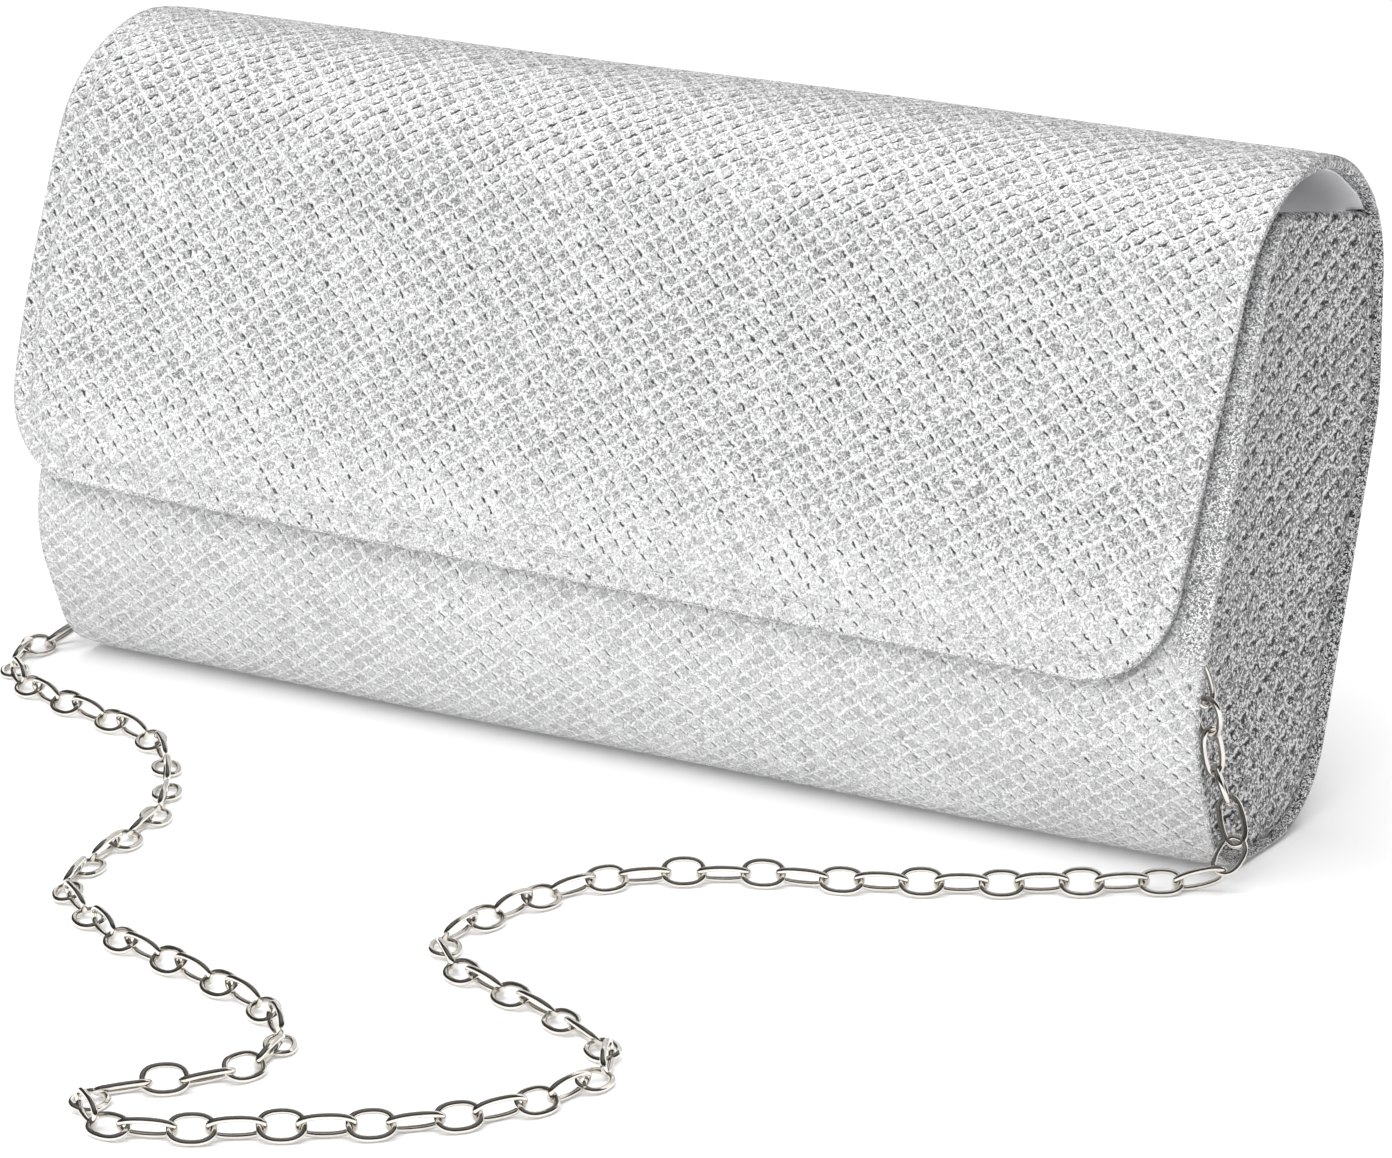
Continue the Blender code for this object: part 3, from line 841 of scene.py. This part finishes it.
def magnet_material(name):
    t = Tree(name)
    at = t.object_place()
    brushed = t.noise(at, 1500.0, 3.0, 0.6, flat=False)
    t.set(Base_Color=t.ramp(brushed, (0.3, (0.34, 0.34, 0.35)),
                            (0.7, (0.46, 0.46, 0.47))))
    t.set(Metallic=1.0)
    t.set(Roughness=t.step(brushed, 0.3, 0.7, 0.28, 0.45, "LINEAR"))
    t.set(Normal=t.bump(brushed, 0.00005, 0.5))
    return t.material


COVER = glitter_fabric("silver_glitter_net", (0.03, 0.03, 0.033),
                       (0.97, 0.97, 0.975), 0.32, 0.42)
# The gusset cloth: the same net as the front, its ground painted darker, partly as
# the shade on the sides.
SIDE = glitter_gusset("silver_glitter_net_side", (0.03, 0.03, 0.033),
                      (0.97, 0.96, 0.965), 0.32, 0.42)
SATIN = satin("grey_satin", (0.38, 0.38, 0.40), (0.48, 0.48, 0.50))
NICKEL = polished_nickel("polished_nickel")
THREAD = thread_material("silver_thread", (0.55, 0.55, 0.56),
                         (0.85, 0.85, 0.86))
BOARD = board_material("grey_board")
MAGNET = magnet_material("magnet_steel")


def dress(obj, material):
    obj.data.materials.clear()
    obj.data.materials.append(material)
    return obj


# ----------------------------------------------------------------- shoulder chain
def smooth_route(points, step):
    """Evenly spaced points on a Catmull-Rom curve through the way points."""
    ends = [points[0] * 2 - points[1]] + points + [points[-1] * 2 - points[-2]]
    dense = []
    for a, b, c, d in zip(ends, ends[1:], ends[2:], ends[3:]):
        for k in range(24):
            t = k / 24.0
            dense.append(0.5 * (2 * b + (c - a) * t
                                + (2 * a - 5 * b + 4 * c - d) * t * t
                                + (3 * b - a - 3 * c + d) * t ** 3))
    dense.append(points[-1])
    return evenly(np.array([tuple(p) for p in dense]), step)


def link_shape(size):
    """One oval link in its own frame: length along X, width along Y."""
    around, sides = 40, 12
    radius = LINK_WIRE / 2
    half, wide = size[0] / 2 - radius, size[1] / 2 - radius
    t = 2 * math.pi * np.arange(around) / around
    c, s = np.cos(t), np.sin(t)
    line = np.column_stack([half * np.sign(c) * np.abs(c) ** 0.86,
                            wide * np.sign(s) * np.abs(s) ** 0.80,
                            np.zeros(around)])
    way = np.roll(line, -1, axis=0) - np.roll(line, 1, axis=0)
    way /= np.linalg.norm(way, axis=1)[:, None]
    out = np.column_stack([way[:, 1], -way[:, 0], np.zeros(around)])
    angle = 2 * math.pi * np.arange(sides) / sides
    points = (line[:, None, :]
              + radius * np.cos(angle)[None, :, None] * out[:, None, :]
              + radius * np.sin(angle)[None, :, None]
              * np.array([0.0, 0.0, 1.0])[None, None, :]).reshape(-1, 3)
    faces = []
    for i in range(around):
        for j in range(sides):
            i2, j2 = (i + 1) % around, (j + 1) % sides
            faces.append((i * sides + j, i2 * sides + j, i2 * sides + j2,
                          i * sides + j2))
    return points, np.array(faces)


def make_chain():
    way = [Vector(p) for p in CHAIN_RIGHT]
    way += [Vector((x, y, CHAIN_LIE)) for x, y in CHAIN_FLOOR]
    way += [Vector(p) for p in CHAIN_LEFT]
    route = smooth_route(way, 0.4)
    route[:, 2] = np.maximum(route[:, 2], CHAIN_LIE)
    length = np.linalg.norm(np.diff(route, axis=0), axis=1).sum()
    # The first and the last link reach a little further, into the wire loops.
    hook = np.array(CHAIN_HOOK)
    line = evenly(np.vstack([hook, route, hook * (-1, 1, 1)]), 0.4)
    run = np.r_[0.0, np.cumsum(np.linalg.norm(np.diff(line, axis=0), axis=1))]
    kinds = (SLIM_LINK, BROAD_LINK)
    pitches = [size[0] - 2 * LINK_WIRE for size in kinds]
    pairs = int(round((run[-1] - pitches[0]) / sum(pitches)))
    count = 2 * pairs + 1
    stops = np.r_[0.0, np.cumsum([pitches[k % 2] for k in range(count)])]
    stops *= run[-1] / stops[-1]

    def at(s):
        return np.column_stack([np.interp(s, run, line[:, k]) for k in range(3)])

    knots = at(stops)
    shapes = [link_shape(size) for size in kinds]
    chance = np.random.default_rng(7)
    points, faces = [], []
    up = np.array([0.0, 0.0, 1.0])
    frames = []
    middle = count // 2
    order = list(range(middle, count)) + list(range(middle - 1, -1, -1))
    held = {}
    for k in order:
        t = knots[k + 1] - knots[k]
        t /= np.linalg.norm(t)
        before = held.get(k - 1 if k > middle else k + 1, up)
        high = before - t * before.dot(t)
        high /= np.linalg.norm(high)
        held[k] = high
        frames.append((k, t, high))
    frames.sort(key=lambda f: f[0])
    made = 0
    for k, t, high in frames:
        # The chain turns over as it changes direction: a broad link lies flat
        # in the bends and leans against its neighbours on the straights.
        side = np.cross(high, t)
        lean = 45.0 * (0.85 * t[0] + 0.52 * t[1]) + chance.normal(0.0, 6.0)
        if k in (3, 4):
            # Off the gusset, where the chain has room, it swings round.
            lean += 50.0
        roll = math.radians(lean + (0.0 if k % 2 else 104.0))
        wide = side * math.cos(roll) + high * math.sin(roll)
        face = np.cross(t, wide)
        centre = (knots[k] + knots[k + 1]) / 2
        shape, link_faces = shapes[k % 2]
        body_of = (centre + shape[:, :1] * t + shape[:, 1:2] * wide
                   + shape[:, 2:] * face)
        low = body_of[:, 2].min()
        if centre[2] < 3.2 or low < 0.05:
            body_of[:, 2] += 0.05 - low
        points.append(body_of)
        faces.append(link_faces + made)
        made += len(shape)
    points = np.vstack(points)
    points[:, 0] += SHIFT
    chain = make_object("shoulder_chain_links", points * MM,
                        [f.tolist() for f in np.vstack(faces)], sharp=80.0)
    dress(chain, NICKEL)
    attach(chain, "bag_body")
    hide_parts("shoulder_chain")
    path = evenly(route, length / 240) + np.array([SHIFT, 0, 0])
    path *= MM
    return chain


def make_eyes():
    """The wire loops that hold the chain at the gusset seams."""
    around, sides = 48, 14
    rings = []
    for side, word in ((1.0, "right"), (-1.0, "left")):
        points = []
        for i in range(around):
            t = 2 * math.pi * i / around
            for j in range(sides):
                p = 2 * math.pi * j / sides
                r = EYE_RADIUS + EYE_WIRE * math.cos(p)
                points.append((side * EYE_CENTRE[0] + SHIFT + r * math.cos(t),
                               EYE_CENTRE[1] + EYE_WIRE * math.sin(p),
                               EYE_CENTRE[2] + r * math.sin(t)))
        faces = [(i * sides + j, i * sides + (j + 1) % sides,
                  ((i + 1) % around) * sides + (j + 1) % sides,
                  ((i + 1) % around) * sides + j)
                 for i in range(around) for j in range(sides)]
        ring = make_object("chain_ring_" + word, np.array(points) * MM,
                           [list(f) for f in faces])
        dress(ring, NICKEL)
        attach(ring, "bag_body")
        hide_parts("chain_eye_" + word)
        rings.append(ring)
    return rings


# The polished metal mirrors the lit backdrop and floor, not the lamps.
METAL = [make_chain()] + make_eyes()
for lamp in LAMPS:
    limit(lamp, METAL, "EXCLUDE")
limit(BACKDROP, METAL, "INCLUDE")


# ------------------------------------------------------------------- bag body
def body_weave(p):
    return np.column_stack([p[:, 0], body.length - p[:, 1]])


def soft_wave(x, s):
    return (0.10 * np.sin(x / 17.0 + 0.8) * np.sin(s / 14.0 + 0.4)
            + 0.08 * np.sin(x / 29.0 + 2.0 + s / 41.0))


def thinned(away):
    """Thickness of the wrap by the distance from its side edges."""
    return 2 * (EDGE_RADIUS + (COVER_RADIUS - EDGE_RADIUS)
                * smooth_step(EDGE_FROM, EDGE_TO, away))


def make_body_cover():
    edge = HALF_WIDTH - EDGE_RADIUS
    corner = 3.0
    free = [(-edge, body.length)]
    for k in range(9):
        t = math.radians(180.0 + 90.0 * k / 8)
        free.append((-edge + corner + corner * math.cos(t),
                     corner + corner * math.sin(t)))
    for k in range(9):
        t = math.radians(270.0 + 90.0 * k / 8)
        free.append((edge - corner + corner * math.cos(t),
                     corner + corner * math.sin(t)))
    free.append((edge, body.length))
    free = evenly(free, 0.8)
    cut = evenly([(edge, body.length), (-edge, body.length)], 0.8)[1:-1]
    loop = np.vstack([free, cut])
    roll = np.r_[np.ones(len(free)), np.zeros(len(cut))]
    low, high = (-edge, 0.0), (edge, body.length)
    flat = net_points((low[0], 0.0), (high[0], body.length), 3, NET)
    flat = np.column_stack([flat[:, 0], body.length - flat[:, 1]])
    near = inside(flat, loop, 0.35)
    far = inside(grid_points(low, high, 2.0), loop, 1.0)

    def depth(p):
        away = distance_to(p, free)
        soft = 0.45 * np.clip(1 - away / 7.0, 0, 1) ** 2
        w = body_weave(p)
        cells = RELIEF * (1 - net_height(w[:, 0], w[:, 1], NET))
        cells *= smooth_step(0.3, 2.5, distance_to(p, loop))
        return soft + cells + 0.18 + soft_wave(p[:, 0], p[:, 1])

    def painted_shade(p):
        """Painted shade: the strip beside the flap, darkened as the flap's shadow,
        and the underside of the base, darkened as a contact shadow along its bottom
        edge.
        """
        y, z, _, nz = body.at(p[:, 1])
        strip = smooth_step(7.0, 4.0, HALF_WIDTH - np.abs(p[:, 0]))
        return (1.25 * strip * smooth_step(33.0, 40.0, z) * (y < 0)
                + 1.6 * smooth_step(-0.90, -0.965, nz))

    cover = panel("body_cover", loop, roll, near, far, EDGE_RADIUS,
                  lambda p, d: body.place(p[:, 0], p[:, 1], d), body_weave,
                  depth, lambda p: thinned(HALF_WIDTH - np.abs(p[:, 0])),
                  painted_shade=painted_shade)
    dress(cover, COVER)
    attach(cover, "bag_body")
    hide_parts("body_wrap_fabric")


def gusset_x(y):
    f = (y - GUSSET_FRONT_Y) / (GUSSET_BACK_Y - GUSSET_FRONT_Y)
    return GUSSET_FRONT_X + f * (GUSSET_BACK_X - GUSSET_FRONT_X)


def make_body_lining():
    """Grey satin inside: front, base and back in one piece."""
    start, end = 9.0, body.length
    s = np.linspace(start, end, 160)
    reach = gusset_x(body.at(s)[0]) - 1.6
    right = np.column_stack([reach, s])
    left = np.column_stack([-reach, s])[::-1]
    free = evenly(np.vstack([left, right]), 1.6)
    cut = evenly([right[-1], left[0]], 1.6)[1:-1]
    loop = np.vstack([free, cut])
    roll = np.r_[np.ones(len(free)), np.zeros(len(cut))]
    low, high = loop.min(0), loop.max(0)
    near = inside(grid_points(low, high, 1.7), loop, 0.6)
    far = inside(grid_points(low, high, 6.0), loop, 2.0)

    def depth(p):
        x, s = p[:, 0], p[:, 1]
        away = smooth_step(0.0, 10.0, distance_to(p, loop))
        crease = (np.sin(x / 9.0 + 1.2 * np.sin(s / 23.0))
                  * np.sin(s / 15.0 + 0.7)
                  + 0.6 * np.sin(x / 4.1 + s / 11.0 + 1.5 * np.sin(x / 33.0)))
        return -0.28 * away * (0.9 + crease * 0.6)

    lining = panel("interior_lining", loop, roll, near, far, 0.17,
                   lambda p, d: body.place(p[:, 0], p[:, 1], WALL - d),
                   body_weave, depth, even(WALL - LINING_TOP), rings=4)
    dress(lining, SATIN)
    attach(lining, "bag_body")
    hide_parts("body_lining")
    return lining


def gusset_rim(offset):
    """The gusset's outline in (y, z), anticlockwise, and where its top is."""
    wall = Profile(band(FRONT_BAND, GUSSET_TOP_FRONT, 269.9)
                   + band(BACK_BAND, 270.1, 360.0 + GUSSET_TOP_BACK))
    s = np.linspace(0.0, wall.length, 400)
    y, z, ny, nz = wall.at(s)
    return np.column_stack([y - offset * ny, z - offset * nz])


def even(thickness):
    return lambda p: np.full(len(p), thickness)


def gusset_face(p):
    """How far out the gusset lies: flush with the wrap's edge at its foot."""
    x = gusset_x(p[:, 0])
    foot = smooth_step(34.0, 12.0, p[:, 1]) * smooth_step(-15.0, -5.0, p[:, 0])
    return x + (GUSSET_FOOT_X - x) * foot


def make_gusset(side, word):
    inset = thinned(HALF_WIDTH - gusset_face(gusset_rim(0.0))) + 0.12
    rim = evenly(gusset_rim(inset), 0.8)
    top = evenly([rim[-1], rim[0]], 0.8)[1:-1]
    loop = np.vstack([rim, top])
    roll = np.r_[np.zeros(len(rim)), np.ones(len(top))]
    away = HALF_WIDTH - gusset_face(rim)
    slope = np.r_[thinned(away + 2.6) - thinned(away) + 0.05, np.zeros(len(top))]
    low, high = loop.min(0), loop.max(0)
    near = inside(net_points(low, high, 5, GUSSET_NET), loop, 0.35)
    far = inside(grid_points(low, high, 4.0), loop, 1.5)

    def place(p, d):
        x = gusset_face(p) - d
        return np.column_stack([side * x + SHIFT, p[:, 0], p[:, 1]]) * MM

    def weave(p):
        return np.column_stack([p[:, 0], p[:, 1]])

    def depth(p):
        away = distance_to(p, rim)
        seam = 0.45 * np.exp(-(away / 1.3) ** 2)
        bow = 0.9 * smooth_step(0.0, 22.0, away)
        cells = RELIEF * (1 - net_height(p[:, 0], p[:, 1], GUSSET_NET))
        cells *= smooth_step(0.3, 2.5, distance_to(p, loop))
        return seam + bow + cells

    cover = panel("gusset_%s_cover" % word, loop, roll, near, far, 0.9, place,
                  weave, depth, even(2.6), slope)
    dress(cover, SIDE)
    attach(cover, "bag_body")
    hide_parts("gusset_%s_fabric" % word)

    rim = evenly(gusset_rim(3.2), 1.6)
    top = evenly([rim[-1] - [0.0, 5.0], rim[0] - [0.0, 5.0]], 1.6)
    keep = rim[:, 1] < np.interp(rim[:, 0], [top[-1][0], top[0][0]],
                                 [top[-1][1], top[0][1]])
    loop = np.vstack([rim[keep], top[1:-1]])
    low, high = loop.min(0), loop.max(0)
    near = inside(grid_points(low, high, 1.7), loop, 0.5)
    far = inside(grid_points(low, high, 5.0), loop, 1.5)

    def inner_place(p, d):
        x = gusset_x(p[:, 0]) - 3.2 + d
        return np.column_stack([side * x + SHIFT, p[:, 0], p[:, 1]]) * MM

    def inner_depth(p):
        away = smooth_step(0.0, 8.0, distance_to(p, loop))
        return -0.25 * away * (1 + 0.5 * np.sin(p[:, 1] / 6.0 + p[:, 0] / 9.0))

    lining = panel("gusset_%s_facing" % word, loop, np.ones(len(loop)), near,
                   far, 0.17, inner_place, weave, inner_depth, even(0.5),
                   rings=4)
    dress(lining, SATIN)
    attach(lining, "bag_body")
    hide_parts("gusset_%s_lining" % word)
    return lining


make_body_cover()
SOFT = [make_body_lining(), make_gusset(1.0, "right"), make_gusset(-1.0, "left")]


# ------------------------------------------------------------------------ flap
def flap_free_edge(inset):
    """The flap's free edge in (x, length), from the right fold end round."""
    s = np.linspace(0.0, flap.length, 800)
    y, z, _, _ = flap.at(s)
    top = int(np.argmax(z))

    def length_at(height):
        return np.interp(-np.asarray(height), -z[top:], s[top:])

    radius = FLAP_CORNER - inset
    low = FLAP_LOW_Z + inset

    def edge(x):
        return low + FLAP_EDGE_SLOPE * x

    corner_top = FLAP_LOW_Z + FLAP_CORNER
    right_x = float(flap_side(FLAP_RIGHT, corner_top)) - inset
    left_x = -float(flap_side(FLAP_LEFT, corner_top)) + inset
    top_r = float(flap_side(FLAP_RIGHT, FLAP_TOP_Z))
    top_l = float(flap_side(FLAP_LEFT, FLAP_TOP_Z))
    cx_r, cz_r = right_x - radius, edge(right_x - radius) + radius
    cx_l, cz_l = left_x + radius, edge(left_x + radius) + radius
    rise = np.linspace(0.0, 1.0, 14)
    back = s[top] * rise[:-1]
    right = [(HALF_WIDTH + (top_r - HALF_WIDTH) * t - inset, b)
             for t, b in zip(rise, back)]
    left = [(-(HALF_WIDTH + (top_l - HALF_WIDTH) * t) + inset, b)
            for t, b in zip(rise, back)]
    for h in np.linspace(FLAP_TOP_Z, cz_r, 40):
        right.append((float(flap_side(FLAP_RIGHT, h)) - inset,
                      float(length_at(min(h, z[top])))))
    for h in np.linspace(FLAP_TOP_Z, cz_l, 40):
        left.append((-float(flap_side(FLAP_LEFT, h)) + inset,
                     float(length_at(min(h, z[top])))))
    corner_r, corner_l = [], []
    for k in range(1, 25):
        t = math.radians(-90.0 * k / 24)
        corner_r.append((cx_r + radius * math.cos(t),
                         float(length_at(cz_r + radius * math.sin(t)))))
        t = math.radians(-90.0 - 90.0 * (k - 1) / 24)
        corner_l.append((cx_l + radius * math.cos(t),
                         float(length_at(cz_l + radius * math.sin(t)))))
    return np.array(right + corner_r + corner_l + left[::-1])


def flap_weave(p):
    return np.column_stack([p[:, 0], -p[:, 1]])


FOLD_POINT = flap.place(np.array([0.0]), np.array([0.0]), 0.0)[0]


def hang(obj):
    """The flap's pieces, baked in place where they lie."""
    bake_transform(obj)


def over_arch(s):
    return smooth_step(ARCH_TO, ARCH_FROM, s)


FLAP_EDGE = evenly(flap_free_edge(FLAP_EDGE_RADIUS), 0.8)


def flap_thickness(p):
    """The flap's sides are thin at the fold and where the arch comes down."""
    s = p[:, 1]
    thin = (smooth_step(10.0, 0.0, s)
            + smooth_step(24.0, 38.0, s) * smooth_step(ARCH_TO, 56.0, s))
    return (thinned(distance_to(p, FLAP_EDGE)) * thin
            + 2 * COVER_RADIUS * (1 - thin))


def flap_fall(p):
    """How far the flap's face lies down: pinched thin outside its stitching."""
    away = distance_to(p, FLAP_EDGE) + FLAP_EDGE_RADIUS
    ease = over_arch(p[:, 1])
    groove = 0.30 * np.exp(-((away - STITCH_INSET) / 0.5) ** 2)
    soft = 0.32 * np.clip(1 - away / 6.0, 0, 1) ** 2
    pinch = 1.15 * smooth_step(6.0, 2.0, away)
    return (groove + soft * ease + pinch * (1 - ease) + 0.18
            + soft_wave(p[:, 0] + 40, p[:, 1]))


def make_flap_cover():
    free = FLAP_EDGE
    cut = evenly([free[-1], free[0]], 0.8)[1:-1]
    loop = np.vstack([free, cut])
    roll = np.r_[np.ones(len(free)), np.zeros(len(cut))]
    low, high = loop.min(0), loop.max(0)
    flat = net_points((low[0], -high[1]), (high[0], -low[1]), 4, NET)
    flat[:, 1] *= -1
    near = inside(flat, loop, 0.35)
    far = inside(grid_points(low, high, 2.5), loop, 1.2)

    def depth(p):
        w = flap_weave(p)
        cells = RELIEF * (1 - net_height(w[:, 0], w[:, 1], NET))
        cells *= smooth_step(0.3, 2.5, distance_to(p, loop))
        return flap_fall(p) + cells

    def painted_shade(p):
        """Painted shade in the stitched groove, darkest at the needle holes."""
        away = distance_to(p, FLAP_EDGE) + FLAP_EDGE_RADIUS
        holes = 0.55 + 0.45 * np.sin((p[:, 0] + p[:, 1])
                                     * 2 * math.pi / STITCH_PITCH)
        return 1.5 * holes * np.exp(-((away - STITCH_INSET) / 0.55) ** 2)

    cover = panel("flap_cover", loop, roll, near, far, FLAP_EDGE_RADIUS,
                  lambda p, d: flap.place(p[:, 0], p[:, 1], d), flap_weave,
                  depth, flap_thickness, painted_shade=painted_shade)
    dress(cover, COVER)
    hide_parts("flap_fabric")
    hang(cover)


def make_flap_facing():
    free = evenly(flap_free_edge(2.2), 1.4)
    cut = evenly([free[-1], free[0]], 1.4)[1:-1]
    loop = np.vstack([free, cut])
    roll = np.r_[np.ones(len(free)), np.zeros(len(cut))]
    low, high = loop.min(0), loop.max(0)
    near = inside(grid_points(low, high, 1.6), loop, 0.6)
    far = inside(grid_points(low, high, 6.0), loop, 2.0)

    def depth(p):
        away = smooth_step(0.0, 12.0, distance_to(p, loop))
        return -0.10 * away * (1 + np.sin(p[:, 0] / 11.0 + p[:, 1] / 17.0))

    def place(p, d):
        under = WALL - 2 * COVER_RADIUS + flap_thickness(p)
        return flap.place(p[:, 0], p[:, 1], under - d)

    lining = panel("flap_facing", loop, roll, near, far, 0.17, place,
                   flap_weave, depth, even(WALL - LINING_TOP), rings=4)
    dress(lining, SATIN)
    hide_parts("flap_lining")
    hang(lining)
    return lining


def stitches(name, line, place, sink):
    """Short round stitches along a flat line, dipping in at both ends."""
    run = np.r_[0.0, np.cumsum(np.linalg.norm(np.diff(line, axis=0), axis=1))]
    count = int(run[-1] / STITCH_PITCH)
    sides, rings = 8, 9
    points, faces = [], []
    for k in range(count):
        start = (k + 0.5) * run[-1] / count - STITCH_LENGTH / 2
        ring_points = []
        for i in range(rings):
            f = i / (rings - 1)
            s = start + STITCH_LENGTH * f
            p = np.array([np.interp(s, run, line[:, 0]),
                          np.interp(s, run, line[:, 1])])
            q = np.array([np.interp(s + 0.05, run, line[:, 0]),
                          np.interp(s + 0.05, run, line[:, 1])])
            way = (q - p) / max(1e-9, np.linalg.norm(q - p))
            across = np.array([way[1], -way[0]])
            r = STITCH_RADIUS * (0.45 + 0.55 * math.sin(math.pi * f) ** 0.5)
            dip = sink + 0.28 * (2 * f - 1) ** 4
            for j in range(sides):
                t = 2 * math.pi * j / sides
                ring_points.append((*(p + across * r * math.cos(t)),
                                    dip - r * math.sin(t)))
        at = len(points)
        points.extend(ring_points)
        for i in range(rings - 1):
            for j in range(sides):
                j2 = (j + 1) % sides
                faces.append([at + i * sides + j, at + i * sides + j2,
                              at + (i + 1) * sides + j2,
                              at + (i + 1) * sides + j])
        faces.append([at + j for j in range(sides)][::-1])
        faces.append([at + (rings - 1) * sides + j for j in range(sides)])
    p = np.array(points)
    obj = make_object(name, place(p[:, :2], p[:, 2]), faces, sharp=70.0)
    return dress(obj, THREAD)


make_flap_cover()
SOFT.append(make_flap_facing())
limit(INSIDE, SOFT, "INCLUDE")
INSIDE.light_linking.blocker_collection = INSIDE.light_linking.receiver_collection
seam = stitches("flap_edge_stitching",
                evenly(flap_free_edge(STITCH_INSET), 0.5),
                lambda p, d: flap.place(p[:, 0], p[:, 1], d + flap_fall(p)),
                -0.02)
hang(seam)

# ----------------------------------------------------- inner parts that stay as made
for node in ("front_board", "base_board", "back_board", "flap_board"):
    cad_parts[node].data.materials.clear()
    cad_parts[node].data.materials.append(BOARD)
for node in ("front_magnet", "flap_magnet"):
    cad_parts[node].data.materials.clear()
    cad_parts[node].data.materials.append(MAGNET)
for node in ("anchor_bar_right", "anchor_bar_left"):
    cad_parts[node].data.materials.clear()
    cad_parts[node].data.materials.append(NICKEL)
